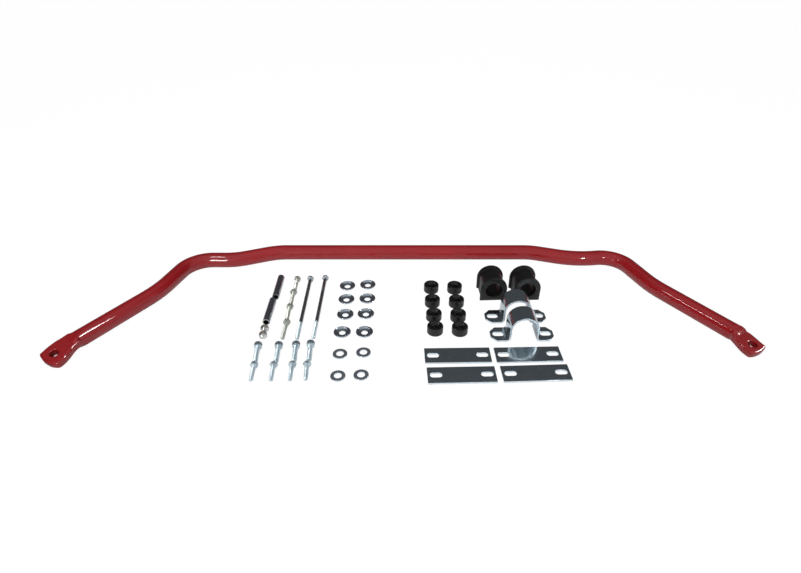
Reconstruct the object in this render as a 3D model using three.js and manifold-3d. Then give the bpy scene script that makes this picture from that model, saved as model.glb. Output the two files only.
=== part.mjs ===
// Sway bar kit: one bent bar with forged eyes, its frame bushes, saddle clamps,
// base plates, end link hardware and fasteners, laid out side by side on a flat
// surface. Millimetres, +Z up, +X to the right, the bar's straight middle at Y = 0
// before the whole kit is centred on its own footprint.
import * as THREE from 'three';
import { mergeVertices } from 'three/addons/utils/BufferGeometryUtils.js';
import Module from 'manifold-3d';

// ---------------------------------------------------------------- dimensions
const BAR_D = 28.6; // 1-1/8 in bar
const BAR_SEG = 18;
// bend points of the centre line, and the bend radii, for each arm
const ARM_LEFT = [[-244.0, 0], [-320.2, -28.8], [-402.8, -28.1], [-433.1, -134.2], [-542.4, -308.6]];
const ARM_RIGHT = [[257.1, 0], [342.0, -26.6], [423.0, -14.6], [457.4, -116.5], [567.4, -287.5]];
const BEND_LEFT = [109, 105, 70, 188];
const BEND_RIGHT = [96, 171, 70, 176];
// outline of each forged eye about its own hole, in the plane of its faces,
// running from its far shoulder round the end to its near shoulder
const EYE_LEFT = [[-0.4, 34.0], [-3.8, 30.0], [-10.6, 21.8], [-16.9, 11.4], [-20.6, 3.4], [-22.4, -0.6], [-21.6, -3.2], [-16.9, -8.6], [-11.6, -13.2], [-5.9, -16.6], [-0.6, -19.2], [4.6, -20.6], [11.4, -20.8], [14.8, -19.3], [17.6, -15.2], [20.9, -6.4], [23.0, 2.5], [24.2, 9.0], [27.0, 17.1], [29.6, 24.0]];
const EYE_RIGHT = [[-14.2, 43.0], [-3.6, 39.6], [0.2, 33.4], [3.0, 26.7], [6.8, 22.0], [12.1, 11.8], [15.9, 3.5], [19.3, -2.6], [18.4, -5.9], [14.6, -9.6], [10.0, -13.0], [5.6, -15.4], [1.1, -17.2], [-3.2, -18.4], [-7.9, -18.8], [-11.8, -17.5], [-16.4, -10.0], [-20.2, 0.6], [-22.6, 9.6], [-25.6, 19.0], [-29.0, 27.0]];
const EYE_T = 13; // forged thickness
const EYE_EDGE = 3.0; // rounding of the forged edge
const EYE_HOLE_D = 13.2;
const EYE_TILT = 11; // degrees, the eye's tip lower than its shoulder
const EYE_MID_LEFT = [-535.5, -303.1, 11.8]; // middle of the hole
const EYE_MID_RIGHT = [555.5, -281.5, 11.8];
const FLATTEN_LEFT = [-259, -278]; // Y where the round bar starts and stops flattening
const FLATTEN_RIGHT = [-236, -254];

const BUSH_L = 44; // frame bush length
const BUSH_FLANGE_T = 4.6;
const BUSH_BORE_D = 28.8;
const BUSH_BORE_Z = 21.8;
const BUSH_R = 20.3; // half width of the barrel
const BUSH_H = 44.0;
const BUSH_FLANGE_R = 23.7;
const BUSH_FLANGE_H = 47.0;
const BUSH_FLANGE_FOOT = 23.3; // half width of the flange at its foot
const BUSHES = [['frame_bush_left', 164.8, -120.0, 2.8], ['frame_bush_right', 224.3, -120.0, 2.8]];

const CLAMP_T = 3.2;
const CLAMP_W = 34.3;
const CLAMP_IN = 20.6; // half of the inner width
const CLAMP_H = 47.4; // outer height of the arch
const CLAMP_LEN = 104.5;
const CLAMP_BEND = 4.0; // inside radius where foot turns into arch
const CLAMP_SLOT = [18.5, 10.6, 39.2]; // length, width, distance from the middle
const CLAMP_CUT = [9.2, 10.2]; // corner cut along X, along Y
const CLAMPS = [['bush_clamp_left', 197.2, -191.3, 0.8], ['bush_clamp_right', 200.2, -239.4, 0.8]];

const PLATE = [104.6, 34.3, 3.2];
const PLATE_SLOT = [18.8, 10.0, 38.9];
const PLATES = [[90.2, -292.1, 1.1], [201.8, -289.9, 1.8], [92.8, -336.3, 1.6], [206.0, -332.4, 2.3]];

const SLEEVE_OD = 12.7;
const SLEEVE_ID = 9.2;
const NUT_AF = 12.7;
const NUT_H = 8.7;
const NUT_BORE = 7.9;

const CUP = { od: 28.7, hole: 10.8, t: 1.6, flat: 8.6, rise: 2.7 };
const CUPS = [[-98.2, -100.2], [-60.7, -96.6], [-96.9, -142.4], [-59.5, -140.3], [-95.4, -186.8], [-60.0, -185.1], [-96.7, -235.0], [-59.8, -234.5]];
const GROM = { od: 26.8, h: 14.4, hole: 9.6 };
const GROMS = [[56.3, -111.2], [56.4, -154.3], [57.1, -194.9], [57.5, -231.2], [98.9, -112.6], [98.9, -155.6], [98.5, -196.1], [98.4, -232.4]];
const WASHER = { od: 23.4, hole: 11.9, t: 1.7 };
const WASHERS = [[-96.1, -286.8], [-59.0, -283.5], [-95.0, -336.8], [-59.8, -334.8]];

const HEX = { af: 11.1, h: 4.4 }; // 7/16 in across flats
const ROD = 6.6; // shank of the link and hex bolts
const SMALL = { af: 11.1, h: 4.4 };
const SMALL_ROD = 6.7;
const CAP = { d: 13.0, h: 8.0, socket: 6.0, depth: 4.0, rod: 8.0 }; // 8 mm socket head
const CAP_LEN = 31.8;
const HEX_LEN = 38.4;
const SMALL_LEN = 30.2;
const LINK_LEN = 169.7;

// ------------------------------------------------------------------ helpers
const DEG = Math.PI / 180;
const wasm = await Module();
wasm.setup();
function solid(g) {
  g = g.index ? g.toNonIndexed() : g.clone();
  for (const k of Object.keys(g.attributes)) if (k !== 'position') g.deleteAttribute(k);
  g = mergeVertices(g, 1e-4);
  return new wasm.Manifold(new wasm.Mesh({ numProp: 3, vertProperties: new Float32Array(g.attributes.position.array), triVerts: new Uint32Array(g.index.array) }));
}
function geom(m) {
  const s = m.getMesh();
  const g = new THREE.BufferGeometry();
  const p = new Float32Array(s.numVert * 3);
  for (let i = 0; i < s.numVert; i++) for (let k = 0; k < 3; k++) p[3 * i + k] = s.vertProperties[i * s.numProp + k];
  g.setAttribute('position', new THREE.BufferAttribute(p, 3));
  g.setIndex(Array.from(s.triVerts));
  return g;
}
const V2 = (x, y) => new THREE.Vector2(x, y);
// a profile of [radius, height] turned about Z
function turned(profile, seg) {
  const g = new THREE.LatheGeometry(profile.map(([r, z]) => V2(r, z)), seg);
  g.rotateX(Math.PI / 2);
  return g;
}
// a closed plan outline raised from z0 to z1
function raised(points, z0, z1, holes = []) {
  const s = new THREE.Shape(points.map(([x, y]) => V2(x, y)));
  for (const h of holes) s.holes.push(new THREE.Path(h.map(([x, y]) => V2(x, y))));
  const g = new THREE.ExtrudeGeometry(s, { depth: z1 - z0, bevelEnabled: false, steps: 1 });
  g.translate(0, 0, z0);
  return g;
}
function slotLine(len, wid, cx, cy, n = 6) {
  const r = wid / 2, a = len / 2 - r, out = [];
  for (let i = 0; i <= n; i++) { const t = -Math.PI / 2 + (Math.PI * i) / n; out.push([cx + a + r * Math.cos(t), cy + r * Math.sin(t)]); }
  for (let i = 0; i <= n; i++) { const t = Math.PI / 2 + (Math.PI * i) / n; out.push([cx - a + r * Math.cos(t), cy + r * Math.sin(t)]); }
  return out;
}
function fillet(V, rad, n) {
  const out = [V[0]];
  for (let i = 1; i < V.length - 1; i++) {
    const [a, b, d] = [V[i - 1], V[i], V[i + 1]].map(([x, y]) => V2(x, y));
    const u = a.clone().sub(b).normalize(), w = d.clone().sub(b).normalize();
    const th = Math.acos(THREE.MathUtils.clamp(u.dot(w), -1, 1)), turn = Math.PI - th;
    const t = Math.min(rad[i - 1] * Math.tan(turn / 2), 0.49 * a.distanceTo(b), 0.49 * d.distanceTo(b));
    const r = t / Math.tan(turn / 2);
    const cen = b.clone().add(u.clone().add(w).normalize().multiplyScalar(r / Math.sin(th / 2)));
    const p1 = b.clone().addScaledVector(u, t).sub(cen), p2 = b.clone().addScaledVector(w, t).sub(cen);
    const a1 = Math.atan2(p1.y, p1.x);
    let da = Math.atan2(p2.y, p2.x) - a1;
    if (da > Math.PI) da -= 2 * Math.PI;
    if (da < -Math.PI) da += 2 * Math.PI;
    for (let k = 0; k <= n; k++) out.push([cen.x + r * Math.cos(a1 + (da * k) / n), cen.y + r * Math.sin(a1 + (da * k) / n)]);
  }
  out.push(V[V.length - 1]);
  return out;
}
const hexLine = (af, turn = 0) => Array.from({ length: 6 }, (_, i) => { const t = turn + (Math.PI / 3) * i, r = af / Math.sqrt(3); return [r * Math.cos(t), r * Math.sin(t)]; });

// --------------------------------------------------------------------- bar
function barPath(arm, bends, yEnd) {
  const pts = fillet([[0, 0], ...arm], bends, 7);
  const a = pts[pts.length - 2], b = pts[pts.length - 1];
  const t = (yEnd - a[1]) / (b[1] - a[1]);
  pts[pts.length - 1] = [a[0] + (b[0] - a[0]) * t, yEnd];
  return pts;
}
function barLoft() {
  const make = (arm, bends, flat, eye) => {
    const p = barPath(arm, bends, flat[1]);
    const a = p[p.length - 2], b = p.pop();
    const steps = 5;
    const at = (y) => { const t = (y - a[1]) / (b[1] - a[1]); return [a[0] + (b[0] - a[0]) * t, y]; };
    const out = p.map(([x, y]) => [x, y, 0]);
    const rise = eye[2] + (flat[1] - eye[1]) * Math.tan(EYE_TILT * DEG) - BAR_D / 2;
    for (let i = 0; i <= steps; i++) { const [x, y] = at(flat[0] + ((flat[1] - flat[0]) * i) / steps); out.push([x, y, i / steps, rise]); }
    return out;
  };
  const L = make(ARM_LEFT, BEND_LEFT, FLATTEN_LEFT, EYE_MID_LEFT).reverse(), Rr = make(ARM_RIGHT, BEND_RIGHT, FLATTEN_RIGHT, EYE_MID_RIGHT);
  const path = [...L, ...Rr.slice(1)];
  const pos = [], idx = [];
  const n = BAR_SEG, R = BAR_D / 2;
  path.forEach(([x, y, f, rise = 0], i) => {
    const p = path[Math.max(0, i - 1)], q = path[Math.min(path.length - 1, i + 1)];
    const d1 = i ? V2(x - p[0], y - p[1]).normalize() : null, d2 = i < path.length - 1 ? V2(q[0] - x, q[1] - y).normalize() : null;
    const d = d1 && d2 ? d1.clone().add(d2).normalize() : d1 || d2;
    const s = f * f * (3 - 2 * f);
    const hz = R + (EYE_T / 2 - 0.4 - R) * s, zc = R + rise * s;
    const pw = 2 / (2 + 1.6 * s); // the section squares up as it flattens
    for (let k = 0; k < n; k++) {
      const t = (2 * Math.PI * (k + 0.5)) / n, c = Math.cos(t), v = Math.sin(t);
      const w = Math.sign(c) * Math.abs(c) ** pw * R, h = Math.sign(v) * Math.abs(v) ** pw * hz;
      pos.push(x - d.y * w, y + d.x * w, zc + h);
    }
  });
  for (let i = 0; i < path.length - 1; i++) for (let k = 0; k < n; k++) {
    const a = i * n + k, b = i * n + ((k + 1) % n), c = a + n, d = b + n;
    idx.push(a, d, c, a, b, d);
  }
  const m = path.length - 1;
  for (const [row, flip] of [[0, true], [m, false]]) {
    const c = pos.length / 3;
    pos.push(path[row][0], path[row][1], R + (path[row][3] ?? 0));
    for (let k = 0; k < n; k++) { const a = row * n + k, b = row * n + ((k + 1) % n); idx.push(...(flip ? [c, b, a] : [c, a, b])); }
  }
  const g = new THREE.BufferGeometry();
  g.setAttribute('position', new THREE.Float32BufferAttribute(pos, 3));
  g.setIndex(idx);
  return g;
}
// the forged slab and its hole, made flat about the hole and then set in place
function place(g, mid) {
  g.rotateX(EYE_TILT * DEG);
  g.translate(...mid);
  return solid(g);
}
function eyeSlab(line) {
  const s = new THREE.Shape(line.map(([x, y]) => V2(x, y)));
  const g = new THREE.ExtrudeGeometry(s, { depth: EYE_T - 2 * EYE_EDGE, bevelEnabled: true, bevelThickness: EYE_EDGE, bevelSize: EYE_EDGE, bevelOffset: -EYE_EDGE, bevelSegments: 2, steps: 1 });
  g.translate(0, 0, EYE_EDGE - EYE_T / 2);
  return g;
}
function bar() {
  let m = solid(barLoft());
  if (m.volume() < 0) throw new Error('bar loft faces inward');
  for (const [line, mid] of [[EYE_LEFT, EYE_MID_LEFT], [EYE_RIGHT, EYE_MID_RIGHT]]) {
    let l = line;
    if (THREE.ShapeUtils.area(l.map(([x, y]) => V2(x, y))) < 0) l = [...l].reverse();
    m = m.add(place(eyeSlab(l), mid));
  }
  for (const mid of [EYE_MID_LEFT, EYE_MID_RIGHT]) {
    const r = EYE_HOLE_D / 2, z = EYE_T / 2, c = 0.9;
    m = m.subtract(place(turned([[0, -z - 3], [r + c, -z - 3], [r + c, -z], [r, -z + c], [r, z - c], [r + c, z], [r + c, z + 3], [0, z + 3]], 22), mid));
  }
  return geom(m);
}

// -------------------------------------------------------------- frame bush
function dLine(half, height, foot, n) {
  const zc = height - half, out = [[-foot, 0], [foot, 0]];
  for (let i = 0; i <= n; i++) { const t = (Math.PI * i) / n; out.push([half * Math.cos(t), zc + half * Math.sin(t)]); }
  return out;
}
function bush() {
  const part = (line, y0, y1) => { const g = raised(line, 0, y1 - y0); g.rotateX(Math.PI / 2); g.translate(0, y1, 0); return solid(g); };
  const L = BUSH_L / 2, T = BUSH_FLANGE_T;
  let m = part(dLine(BUSH_R, BUSH_H, BUSH_R, 16), -L + T - 0.5, L - T + 0.5);
  for (const [a, b] of [[-L, -L + T], [L - T, L]]) m = m.add(part(dLine(BUSH_FLANGE_R, BUSH_FLANGE_H, BUSH_FLANGE_FOOT, 16), a, b));
  const r = BUSH_BORE_D / 2, c = 0.8;
  const b = turned([[0, -L - 2], [r + c + 2, -L - 2], [r + c, -L], [r, -L + c], [r, L - c], [r + c, L], [r + c + 2, L + 2], [0, L + 2]], 28);
  b.rotateX(Math.PI / 2);
  b.translate(0, 0, BUSH_BORE_Z);
  return geom(m.subtract(solid(b)));
}

// ------------------------------------------------------------ saddle clamp
function clamp() {
  const t = CLAMP_T / 2, xw = CLAMP_IN + t, R = xw, rb = CLAMP_BEND + t, zc = CLAMP_H - t - R;
  const mid = [], n = 14, nb = 4; // centre line with its left hand normal
  mid.push([-CLAMP_LEN / 2, t, 0, 1]);
  for (let i = 0; i <= nb; i++) { const a = (Math.PI / 2) * (i / nb); mid.push([-xw - rb + rb * Math.sin(a), t + rb - rb * Math.cos(a), -Math.sin(a), Math.cos(a)]); }
  for (let i = 0; i <= n; i++) { const a = Math.PI - (Math.PI * i) / n; mid.push([R * Math.cos(a), zc + R * Math.sin(a), Math.cos(a), Math.sin(a)]); }
  for (let i = nb; i >= 0; i--) { const a = (Math.PI / 2) * (i / nb); mid.push([xw + rb - rb * Math.sin(a), t + rb - rb * Math.cos(a), Math.sin(a), Math.cos(a)]); }
  mid.push([CLAMP_LEN / 2, t, 0, 1]);
  const upper = mid.map(([x, z, nx, nz]) => [x + nx * t, z + nz * t]), lower = mid.map(([x, z, nx, nz]) => [x - nx * t, z - nz * t]);
  const g = raised([...lower, ...upper.reverse()], -CLAMP_W / 2, CLAMP_W / 2);
  g.rotateX(Math.PI / 2);
  let m = solid(g);
  const W = CLAMP_W / 2, L = CLAMP_LEN / 2, [cx, cy] = CLAMP_CUT;
  for (const s of [-1, 1]) for (const f of [-1, 1]) {
    let tri = [[s * (L - cx), f * (W + 1)], [s * (L - cx), f * W], [s * L, f * (W - cy)], [s * (L + 1), f * (W - cy)], [s * (L + 1), f * (W + 1)]];
    if (s * f < 0) tri = tri.reverse();
    if (THREE.ShapeUtils.area(tri.map(([x, y]) => V2(x, y))) < 0) tri = tri.reverse();
    m = m.subtract(solid(raised(tri, -1, CLAMP_T + 1)));
  }
  for (const s of [-1, 1]) m = m.subtract(solid(raised(slotLine(CLAMP_SLOT[0], CLAMP_SLOT[1], s * CLAMP_SLOT[2], 0), -1, CLAMP_T + 1)));
  return geom(m);
}

// -------------------------------------------------------------- base plate
function plate() {
  const [L, W, T] = PLATE, c = 0.6, s = new THREE.Shape();
  const line = [[-L / 2 + c, -W / 2], [L / 2 - c, -W / 2], [L / 2, -W / 2 + c], [L / 2, W / 2 - c], [L / 2 - c, W / 2], [-L / 2 + c, W / 2], [-L / 2, W / 2 - c], [-L / 2, -W / 2 + c]];
  return raised(line, 0, T, [-1, 1].map((k) => slotLine(PLATE_SLOT[0], PLATE_SLOT[1], k * PLATE_SLOT[2], 0).reverse()));
}

// ------------------------------------------------- washers, grommets, sleeves
function cupWasher() {
  const { od, hole, t, flat, rise } = CUP, ro = od / 2, ri = hole / 2;
  return turned([[ri, 0], [flat, 0], [flat + 2.6, 0.8], [ro, rise + 0.7], [ro - 0.7, rise + t], [flat + 2.0, t + 0.8], [flat - 0.6, t], [ri, t], [ri, 0]], 22);
}
function grommet() {
  const { od, h, hole } = GROM, ro = od / 2, ri = hole / 2;
  return turned([[ri, 0], [ro - 1.0, 0], [ro, 1.0], [ro, h - 1.9], [ro - 1.6, h], [ro - 3.2, h], [ri + 1.2, h - 3.2], [ri, h - 3.6], [ri, 0]], 20);
}

// ---------------------------------------------------------------- fasteners
// every bolt is made along +Z: the shank's end at z = 0, the head on top
function hexHead(af, z0, z1) {
  const r = af / 2, k = af / Math.sqrt(3) + 0.2;
  return solid(raised(hexLine(af), z0, z1)).intersect(solid(turned([[0, z0], [k, z0], [k, z1 - (k - r) * 0.6], [r * 0.95, z1], [0, z1]], 18)));
}
function hexBolt(head, d, len, seg) {
  return geom(hexHead(head.af, len, len + head.h).add(solid(turned([[0, 0], [d / 2 - 0.8, 0], [d / 2, 0.9], [d / 2, len + 1], [0, len + 1]], seg))));
}
function capScrew(len) {
  const r = CAP.d / 2, z1 = len + CAP.h;
  let m = solid(turned([[0, len], [r - 0.3, len], [r, len + 0.3], [r, z1 - 0.9], [r - 0.9, z1], [0, z1]], 20));
  m = m.add(solid(turned([[0, 0], [CAP.rod / 2 - 0.9, 0], [CAP.rod / 2, 1.0], [CAP.rod / 2, len + 1], [0, len + 1]], 14)));
  m = m.subtract(solid(raised(hexLine(CAP.socket), z1 - CAP.depth, z1 + 1)));
  return geom(m);
}
function nut() {
  const r = NUT_AF / 2, k = NUT_AF / Math.sqrt(3) + 0.2, hz = 6.4, b = NUT_BORE / 2 - 0.3;
  let m = solid(raised(hexLine(NUT_AF), 0, hz)).intersect(solid(turned([[0, 0], [k, 0], [k, hz - (k - r) * 0.6], [r * 0.97, hz], [0, hz]], 18)));
  m = m.add(solid(turned([[0, hz - 1], [r * 0.94, hz - 1], [r * 0.94, NUT_H - 1.2], [r * 0.82, NUT_H], [0, NUT_H]], 18)));
  m = m.subtract(solid(turned([[0, -1], [b, -1], [b, NUT_H - 2.4], [b + 0.8, NUT_H - 2.0], [b + 0.8, NUT_H + 1], [0, NUT_H + 1]], 16)));
  return geom(m);
}

// ----------------------------------------------------------------- assembly
const steel = (c, r = 0.35, m = 1) => new THREE.MeshStandardMaterial({ color: c, roughness: r, metalness: m });
const RED = new THREE.MeshStandardMaterial({ color: 0x9c2027, roughness: 0.25, metalness: 0.1 });
const BLACK = new THREE.MeshStandardMaterial({ color: 0x161616, roughness: 0.45, metalness: 0 });
const ZINC = steel(0xb9c2c6);
const OLIVE = steel(0xb8b8a4);
const DARK = steel(0x6f7276, 0.3);

const kit = new THREE.Group();
kit.name = 'sway_bar_kit';
const put = (name, g, mat, f) => {
  const k = g.clone();
  if (f) f(k);
  const mesh = new THREE.Mesh(k, mat);
  mesh.name = name;
  kit.add(mesh);
};
const flat = (x, y, turn = 0, z = 0) => (g) => { g.rotateZ(turn * DEG); g.translate(x, y, z); };
// a bolt lying down: head away at +Y, resting on its head and on its shank's end
function lying(g, headR, rodR, len, x, yTip, lean, roll = 0) {
  g.rotateZ(roll * DEG);
  g.rotateX(-Math.PI / 2); // +Z of the bolt turned to +Y
  g.translate(0, 0, 0);
  const tilt = Math.atan2(headR - rodR, len);
  g.rotateX(tilt);
  g.rotateZ(lean * DEG);
  g.computeBoundingBox();
  g.translate(x, yTip, -g.boundingBox.min.z);
}

put('sway_bar', bar(), RED);
const bushG = bush();
for (const [n, x, y, a] of BUSHES) put(n, bushG, BLACK, flat(x, y, a));
const clampG = clamp();
for (const [n, x, y, a] of CLAMPS) put(n, clampG, ZINC, flat(x, y, a));
const plateG = plate();
PLATES.forEach(([x, y, a], i) => put(`base_plate_${i + 1}`, plateG, ZINC, flat(x, y, a)));

// sleeves, each given by the two ends of its axis
const SLEEVES = [['spacer_sleeve_left', [-224.4, -77.4], [-224.0, -140.9]], ['spacer_sleeve_right', [-226.8, -149.9], [-227.0, -213.4]]];
for (const [n, a, b] of SLEEVES) {
  const len = Math.hypot(a[0] - b[0], a[1] - b[1]);
  const g = turned([[SLEEVE_ID / 2, 0], [SLEEVE_OD / 2, 0], [SLEEVE_OD / 2, len], [SLEEVE_ID / 2, len], [SLEEVE_ID / 2, 0]], 20);
  g.rotateX(-Math.PI / 2);
  put(n, g, DARK, (k) => { k.rotateZ(Math.atan2(-(a[0] - b[0]), a[1] - b[1])); k.translate(b[0], b[1], SLEEVE_OD / 2); });
}
const nutG = nut();
put('link_nut_left', nutG, ZINC, flat(-227.0, -226.6, 4));
put('link_nut_right', nutG, ZINC, flat(-226.4, -243.8, -8));

const linkG = hexBolt(HEX, ROD, LINK_LEN, 16);
put('link_bolt_left', linkG, DARK, (g) => lying(g, HEX.af / 2, ROD / 2, LINK_LEN, -169.0, -253.2, 0, 0));
put('link_bolt_right', linkG, DARK, (g) => lying(g, HEX.af / 2, ROD / 2, LINK_LEN, -142.6, -250.8, -0.4, 0));

const cupG = cupWasher();
CUPS.forEach(([x, y], i) => put(`cup_washer_${i + 1}`, cupG, ZINC, flat(x, y)));
const gromG = grommet();
GROMS.forEach(([x, y], i) => put(`link_grommet_${i + 1}`, gromG, BLACK, flat(x, y)));
const washG = turned([[WASHER.hole / 2, 0], [WASHER.od / 2, 0], [WASHER.od / 2, WASHER.t], [WASHER.hole / 2, WASHER.t], [WASHER.hole / 2, 0]], 26);
WASHERS.forEach(([x, y], i) => put(`flat_washer_${i + 1}`, washG, ZINC, flat(x, y)));

const hexG = hexBolt(HEX, ROD, HEX_LEN, 12);
for (let i = 0; i < 4; i++) put(`hex_bolt_${i + 1}`, hexG, OLIVE, (g) => lying(g, HEX.af / 2, ROD / 2, HEX_LEN, [-193.4, -194.0, -193.7, -193.0][i], [-122.6, -165.8, -209.0, -252.8][i], [0, 0, 0, -1.2][i], [0, 7, -6, 3][i]));
const capG = capScrew(CAP_LEN);
[[-225.7, -308.9, 3.6], [-193.3, -308.6, 2.6], [-165.5, -307.2, 3.2], [-142.4, -305.0, 3.0]].forEach(([x, y, a], i) => put(`cap_screw_${i + 1}`, capG, ZINC, (g) => lying(g, CAP.d / 2, CAP.rod / 2, CAP_LEN, x, y, a, i * 9)));
const rowG = hexBolt(SMALL, SMALL_ROD, SMALL_LEN, 12);
[[-223.9, -349.4, 2.0], [-194.0, -349.8, 1.5], [-165.4, -349.4, 1.8], [-141.9, -348.0, 3.4]].forEach(([x, y, a], i) => put(`clamp_bolt_${i + 1}`, rowG, ZINC, (g) => lying(g, SMALL.af / 2, SMALL_ROD / 2, SMALL_LEN, x, y, a, [0, 6, -5, 3][i])));

// centre the kit on its own footprint, standing on z = 0
const box = new THREE.Box3();
for (const m of kit.children) { m.geometry.computeBoundingBox(); box.union(m.geometry.boundingBox); }
const mid = box.getCenter(new THREE.Vector3());
for (const m of kit.children) {
  m.geometry.translate(-mid.x, -mid.y, -box.min.z);
  m.geometry.computeVertexNormals();
}
kit.userData.shift = [mid.x, mid.y, box.min.z];

export default kit;
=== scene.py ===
# A sway bar kit laid out loose: the red bar with its forged eyes, frame bushes, saddle
# clamps, slotted plates and the end-link hardware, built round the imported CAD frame.
import math

import bmesh
import bpy
import numpy as np
from mathutils import Matrix, Vector


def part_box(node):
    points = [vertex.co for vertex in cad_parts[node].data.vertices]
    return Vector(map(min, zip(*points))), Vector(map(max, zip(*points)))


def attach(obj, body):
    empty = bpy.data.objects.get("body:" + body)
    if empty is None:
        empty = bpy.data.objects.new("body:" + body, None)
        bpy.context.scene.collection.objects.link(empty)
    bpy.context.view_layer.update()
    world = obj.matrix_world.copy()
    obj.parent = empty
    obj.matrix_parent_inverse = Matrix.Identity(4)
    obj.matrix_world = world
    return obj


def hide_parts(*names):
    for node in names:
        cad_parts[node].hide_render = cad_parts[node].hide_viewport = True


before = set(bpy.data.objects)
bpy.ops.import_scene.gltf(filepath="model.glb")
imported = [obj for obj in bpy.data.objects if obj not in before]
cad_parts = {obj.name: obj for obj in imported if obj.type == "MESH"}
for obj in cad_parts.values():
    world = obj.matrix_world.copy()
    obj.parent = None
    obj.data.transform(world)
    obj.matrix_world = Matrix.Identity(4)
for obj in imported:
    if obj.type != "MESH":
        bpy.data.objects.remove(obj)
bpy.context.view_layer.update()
scene = bpy.context.scene
MM = 0.001
DEG = math.pi / 180

_lo, _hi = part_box("base_plate_1")
SX = 90.2 - (_lo.x + _hi.x) / 2 / MM
SY = -292.1 - (_lo.y + _hi.y) / 2 / MM


def W(x, y, z=0.0):
    return Vector(((x - SX) * MM, (y - SY) * MM, z * MM))


# ------------------------------------------------------------------- camera
cam_data = bpy.data.cameras.new("camera")
cam = bpy.data.objects.new("camera", cam_data)
scene.collection.objects.link(cam)
cam.location = W(0, -968.886, 605)
cam.rotation_euler = ((90 - 34.8) * DEG, 0, 0)
cam_data.sensor_width = 36
cam_data.lens = 570 / 801 * 36
cam_data.clip_start, cam_data.clip_end = 0.01, 50
scene.camera = cam
scene.view_settings.view_transform = "Standard"


# ------------------------------------------------------------ mesh helpers
def mesh_of(name, verts, faces, sharp=32):
    """A mesh from mm vertices; edges sharper than this many degrees stay crisp."""
    me = bpy.data.meshes.new(name)
    me.from_pydata((np.asarray(verts, float) * MM).tolist(), [], [list(map(int, f)) for f in faces])
    me.validate()
    bm = bmesh.new()
    bm.from_mesh(me)
    bmesh.ops.recalc_face_normals(bm, faces=bm.faces)
    bm.to_mesh(me)
    bm.free()
    me.shade_smooth()
    if sharp is not None:
        me.set_sharp_from_angle(angle=sharp * DEG)
    me.update()
    return me


def piece(name, me, mat, body, node, matrix=None):
    if not me.materials:
        me.materials.append(mat)
    o = bpy.data.objects.new(name, me)
    scene.collection.objects.link(o)
    if matrix is not None:
        o.matrix_world = matrix
    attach(o, body)
    if node:
        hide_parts(node)
    return o


def at(x, y, z=0.0, turn=0.0):
    return Matrix.Translation(W(x, y, z)) @ Matrix.Rotation(turn * DEG, 4, "Z")


def arc(cx, cz, r, a0, a1, n):
    """Points of an arc in a profile, angles in degrees."""
    return [(cx + r * math.cos((a0 + (a1 - a0) * i / n) * DEG), cz + r * math.sin((a0 + (a1 - a0) * i / n) * DEG)) for i in range(n + 1)]


def held(profile, d=0.14, long=1.1):
    """The same profile with a point just inside each end of every long straight, so the flats shade flat."""
    out = [profile[0]]
    for (r0, z0), (r1, z1) in zip(profile[:-1], profile[1:]):
        L = math.hypot(r1 - r0, z1 - z0)
        if L > long:
            out += [(r0 + (r1 - r0) * d / L, z0 + (z1 - z0) * d / L), (r1 - (r1 - r0) * d / L, z1 - (z1 - z0) * d / L)]
        out.append((r1, z1))
    return out


def lathe(profile, seg, rfun=None):
    """Turns a closed profile of (radius, height) about Z. rfun(theta, k) scales nothing but may
    give each profile point its own radius at that angle. A radius of 0 makes one point."""
    verts, rows = [], []
    if rfun is None:
        profile = held(profile)
    for k, (r, z) in enumerate(profile):
        if r <= 1e-9 and rfun is None:
            rows.append([len(verts)] * seg)
            verts.append((0, 0, z))
        else:
            rows.append(list(range(len(verts), len(verts) + seg)))
            for i in range(seg):
                t = 2 * math.pi * i / seg
                q = rfun(t, k, r, z) if rfun else r
                verts.append((q * math.cos(t), q * math.sin(t), z))
    faces = []
    n = len(profile)
    closed = profile[0] == profile[-1]
    last = n - 1
    for k in range(last):
        a, b = rows[k], rows[(k + 1) % n] if not (closed and k == last - 1) else rows[0]
        for i in range(seg):
            j = (i + 1) % seg
            q = [a[i], a[j], b[j], b[i]]
            u = []
            for v in q:
                if v not in u:
                    u.append(v)
            if len(u) > 2:
                faces.append(u)
    return verts, faces


def grid_faces(rows, closed_u=True, closed_v=False):
    faces = []
    n = len(rows)
    for k in range(n if closed_v else n - 1):
        a, b = rows[k], rows[(k + 1) % n]
        m = len(a)
        for i in range(m if closed_u else m - 1):
            j = (i + 1) % m
            faces.append((a[i], a[j], b[j], b[i]))
    return faces


# --------------------------------------------------------------------- bar
BAR_R = 14.3
ARM_LEFT = [(-244.0, 0), (-320.2, -28.8), (-402.8, -28.1), (-433.1, -134.2), (-542.4, -308.6)]
ARM_RIGHT = [(257.1, 0), (342.0, -26.6), (423.0, -14.6), (457.4, -116.5), (567.4, -287.5)]
BEND_LEFT = [109, 105, 70, 188]
BEND_RIGHT = [96, 171, 70, 176]
EYE_LEFT = [(12.0, 50.0), (5.0, 41.0), (-0.4, 34.0), (-3.8, 30.0), (-10.6, 21.8), (-16.9, 11.4), (-20.6, 3.4), (-22.4, -0.6), (-21.6, -3.2), (-16.9, -8.6), (-11.6, -13.2), (-5.9, -16.6), (-0.6, -19.2), (4.6, -20.6), (11.4, -20.8), (14.8, -19.3), (17.6, -15.2), (20.9, -6.4), (23.0, 2.5), (24.2, 9.0), (27.0, 17.1), (29.6, 24.0), (34.0, 33.0), (38.8, 42.0), (32.0, 50.0)]
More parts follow.
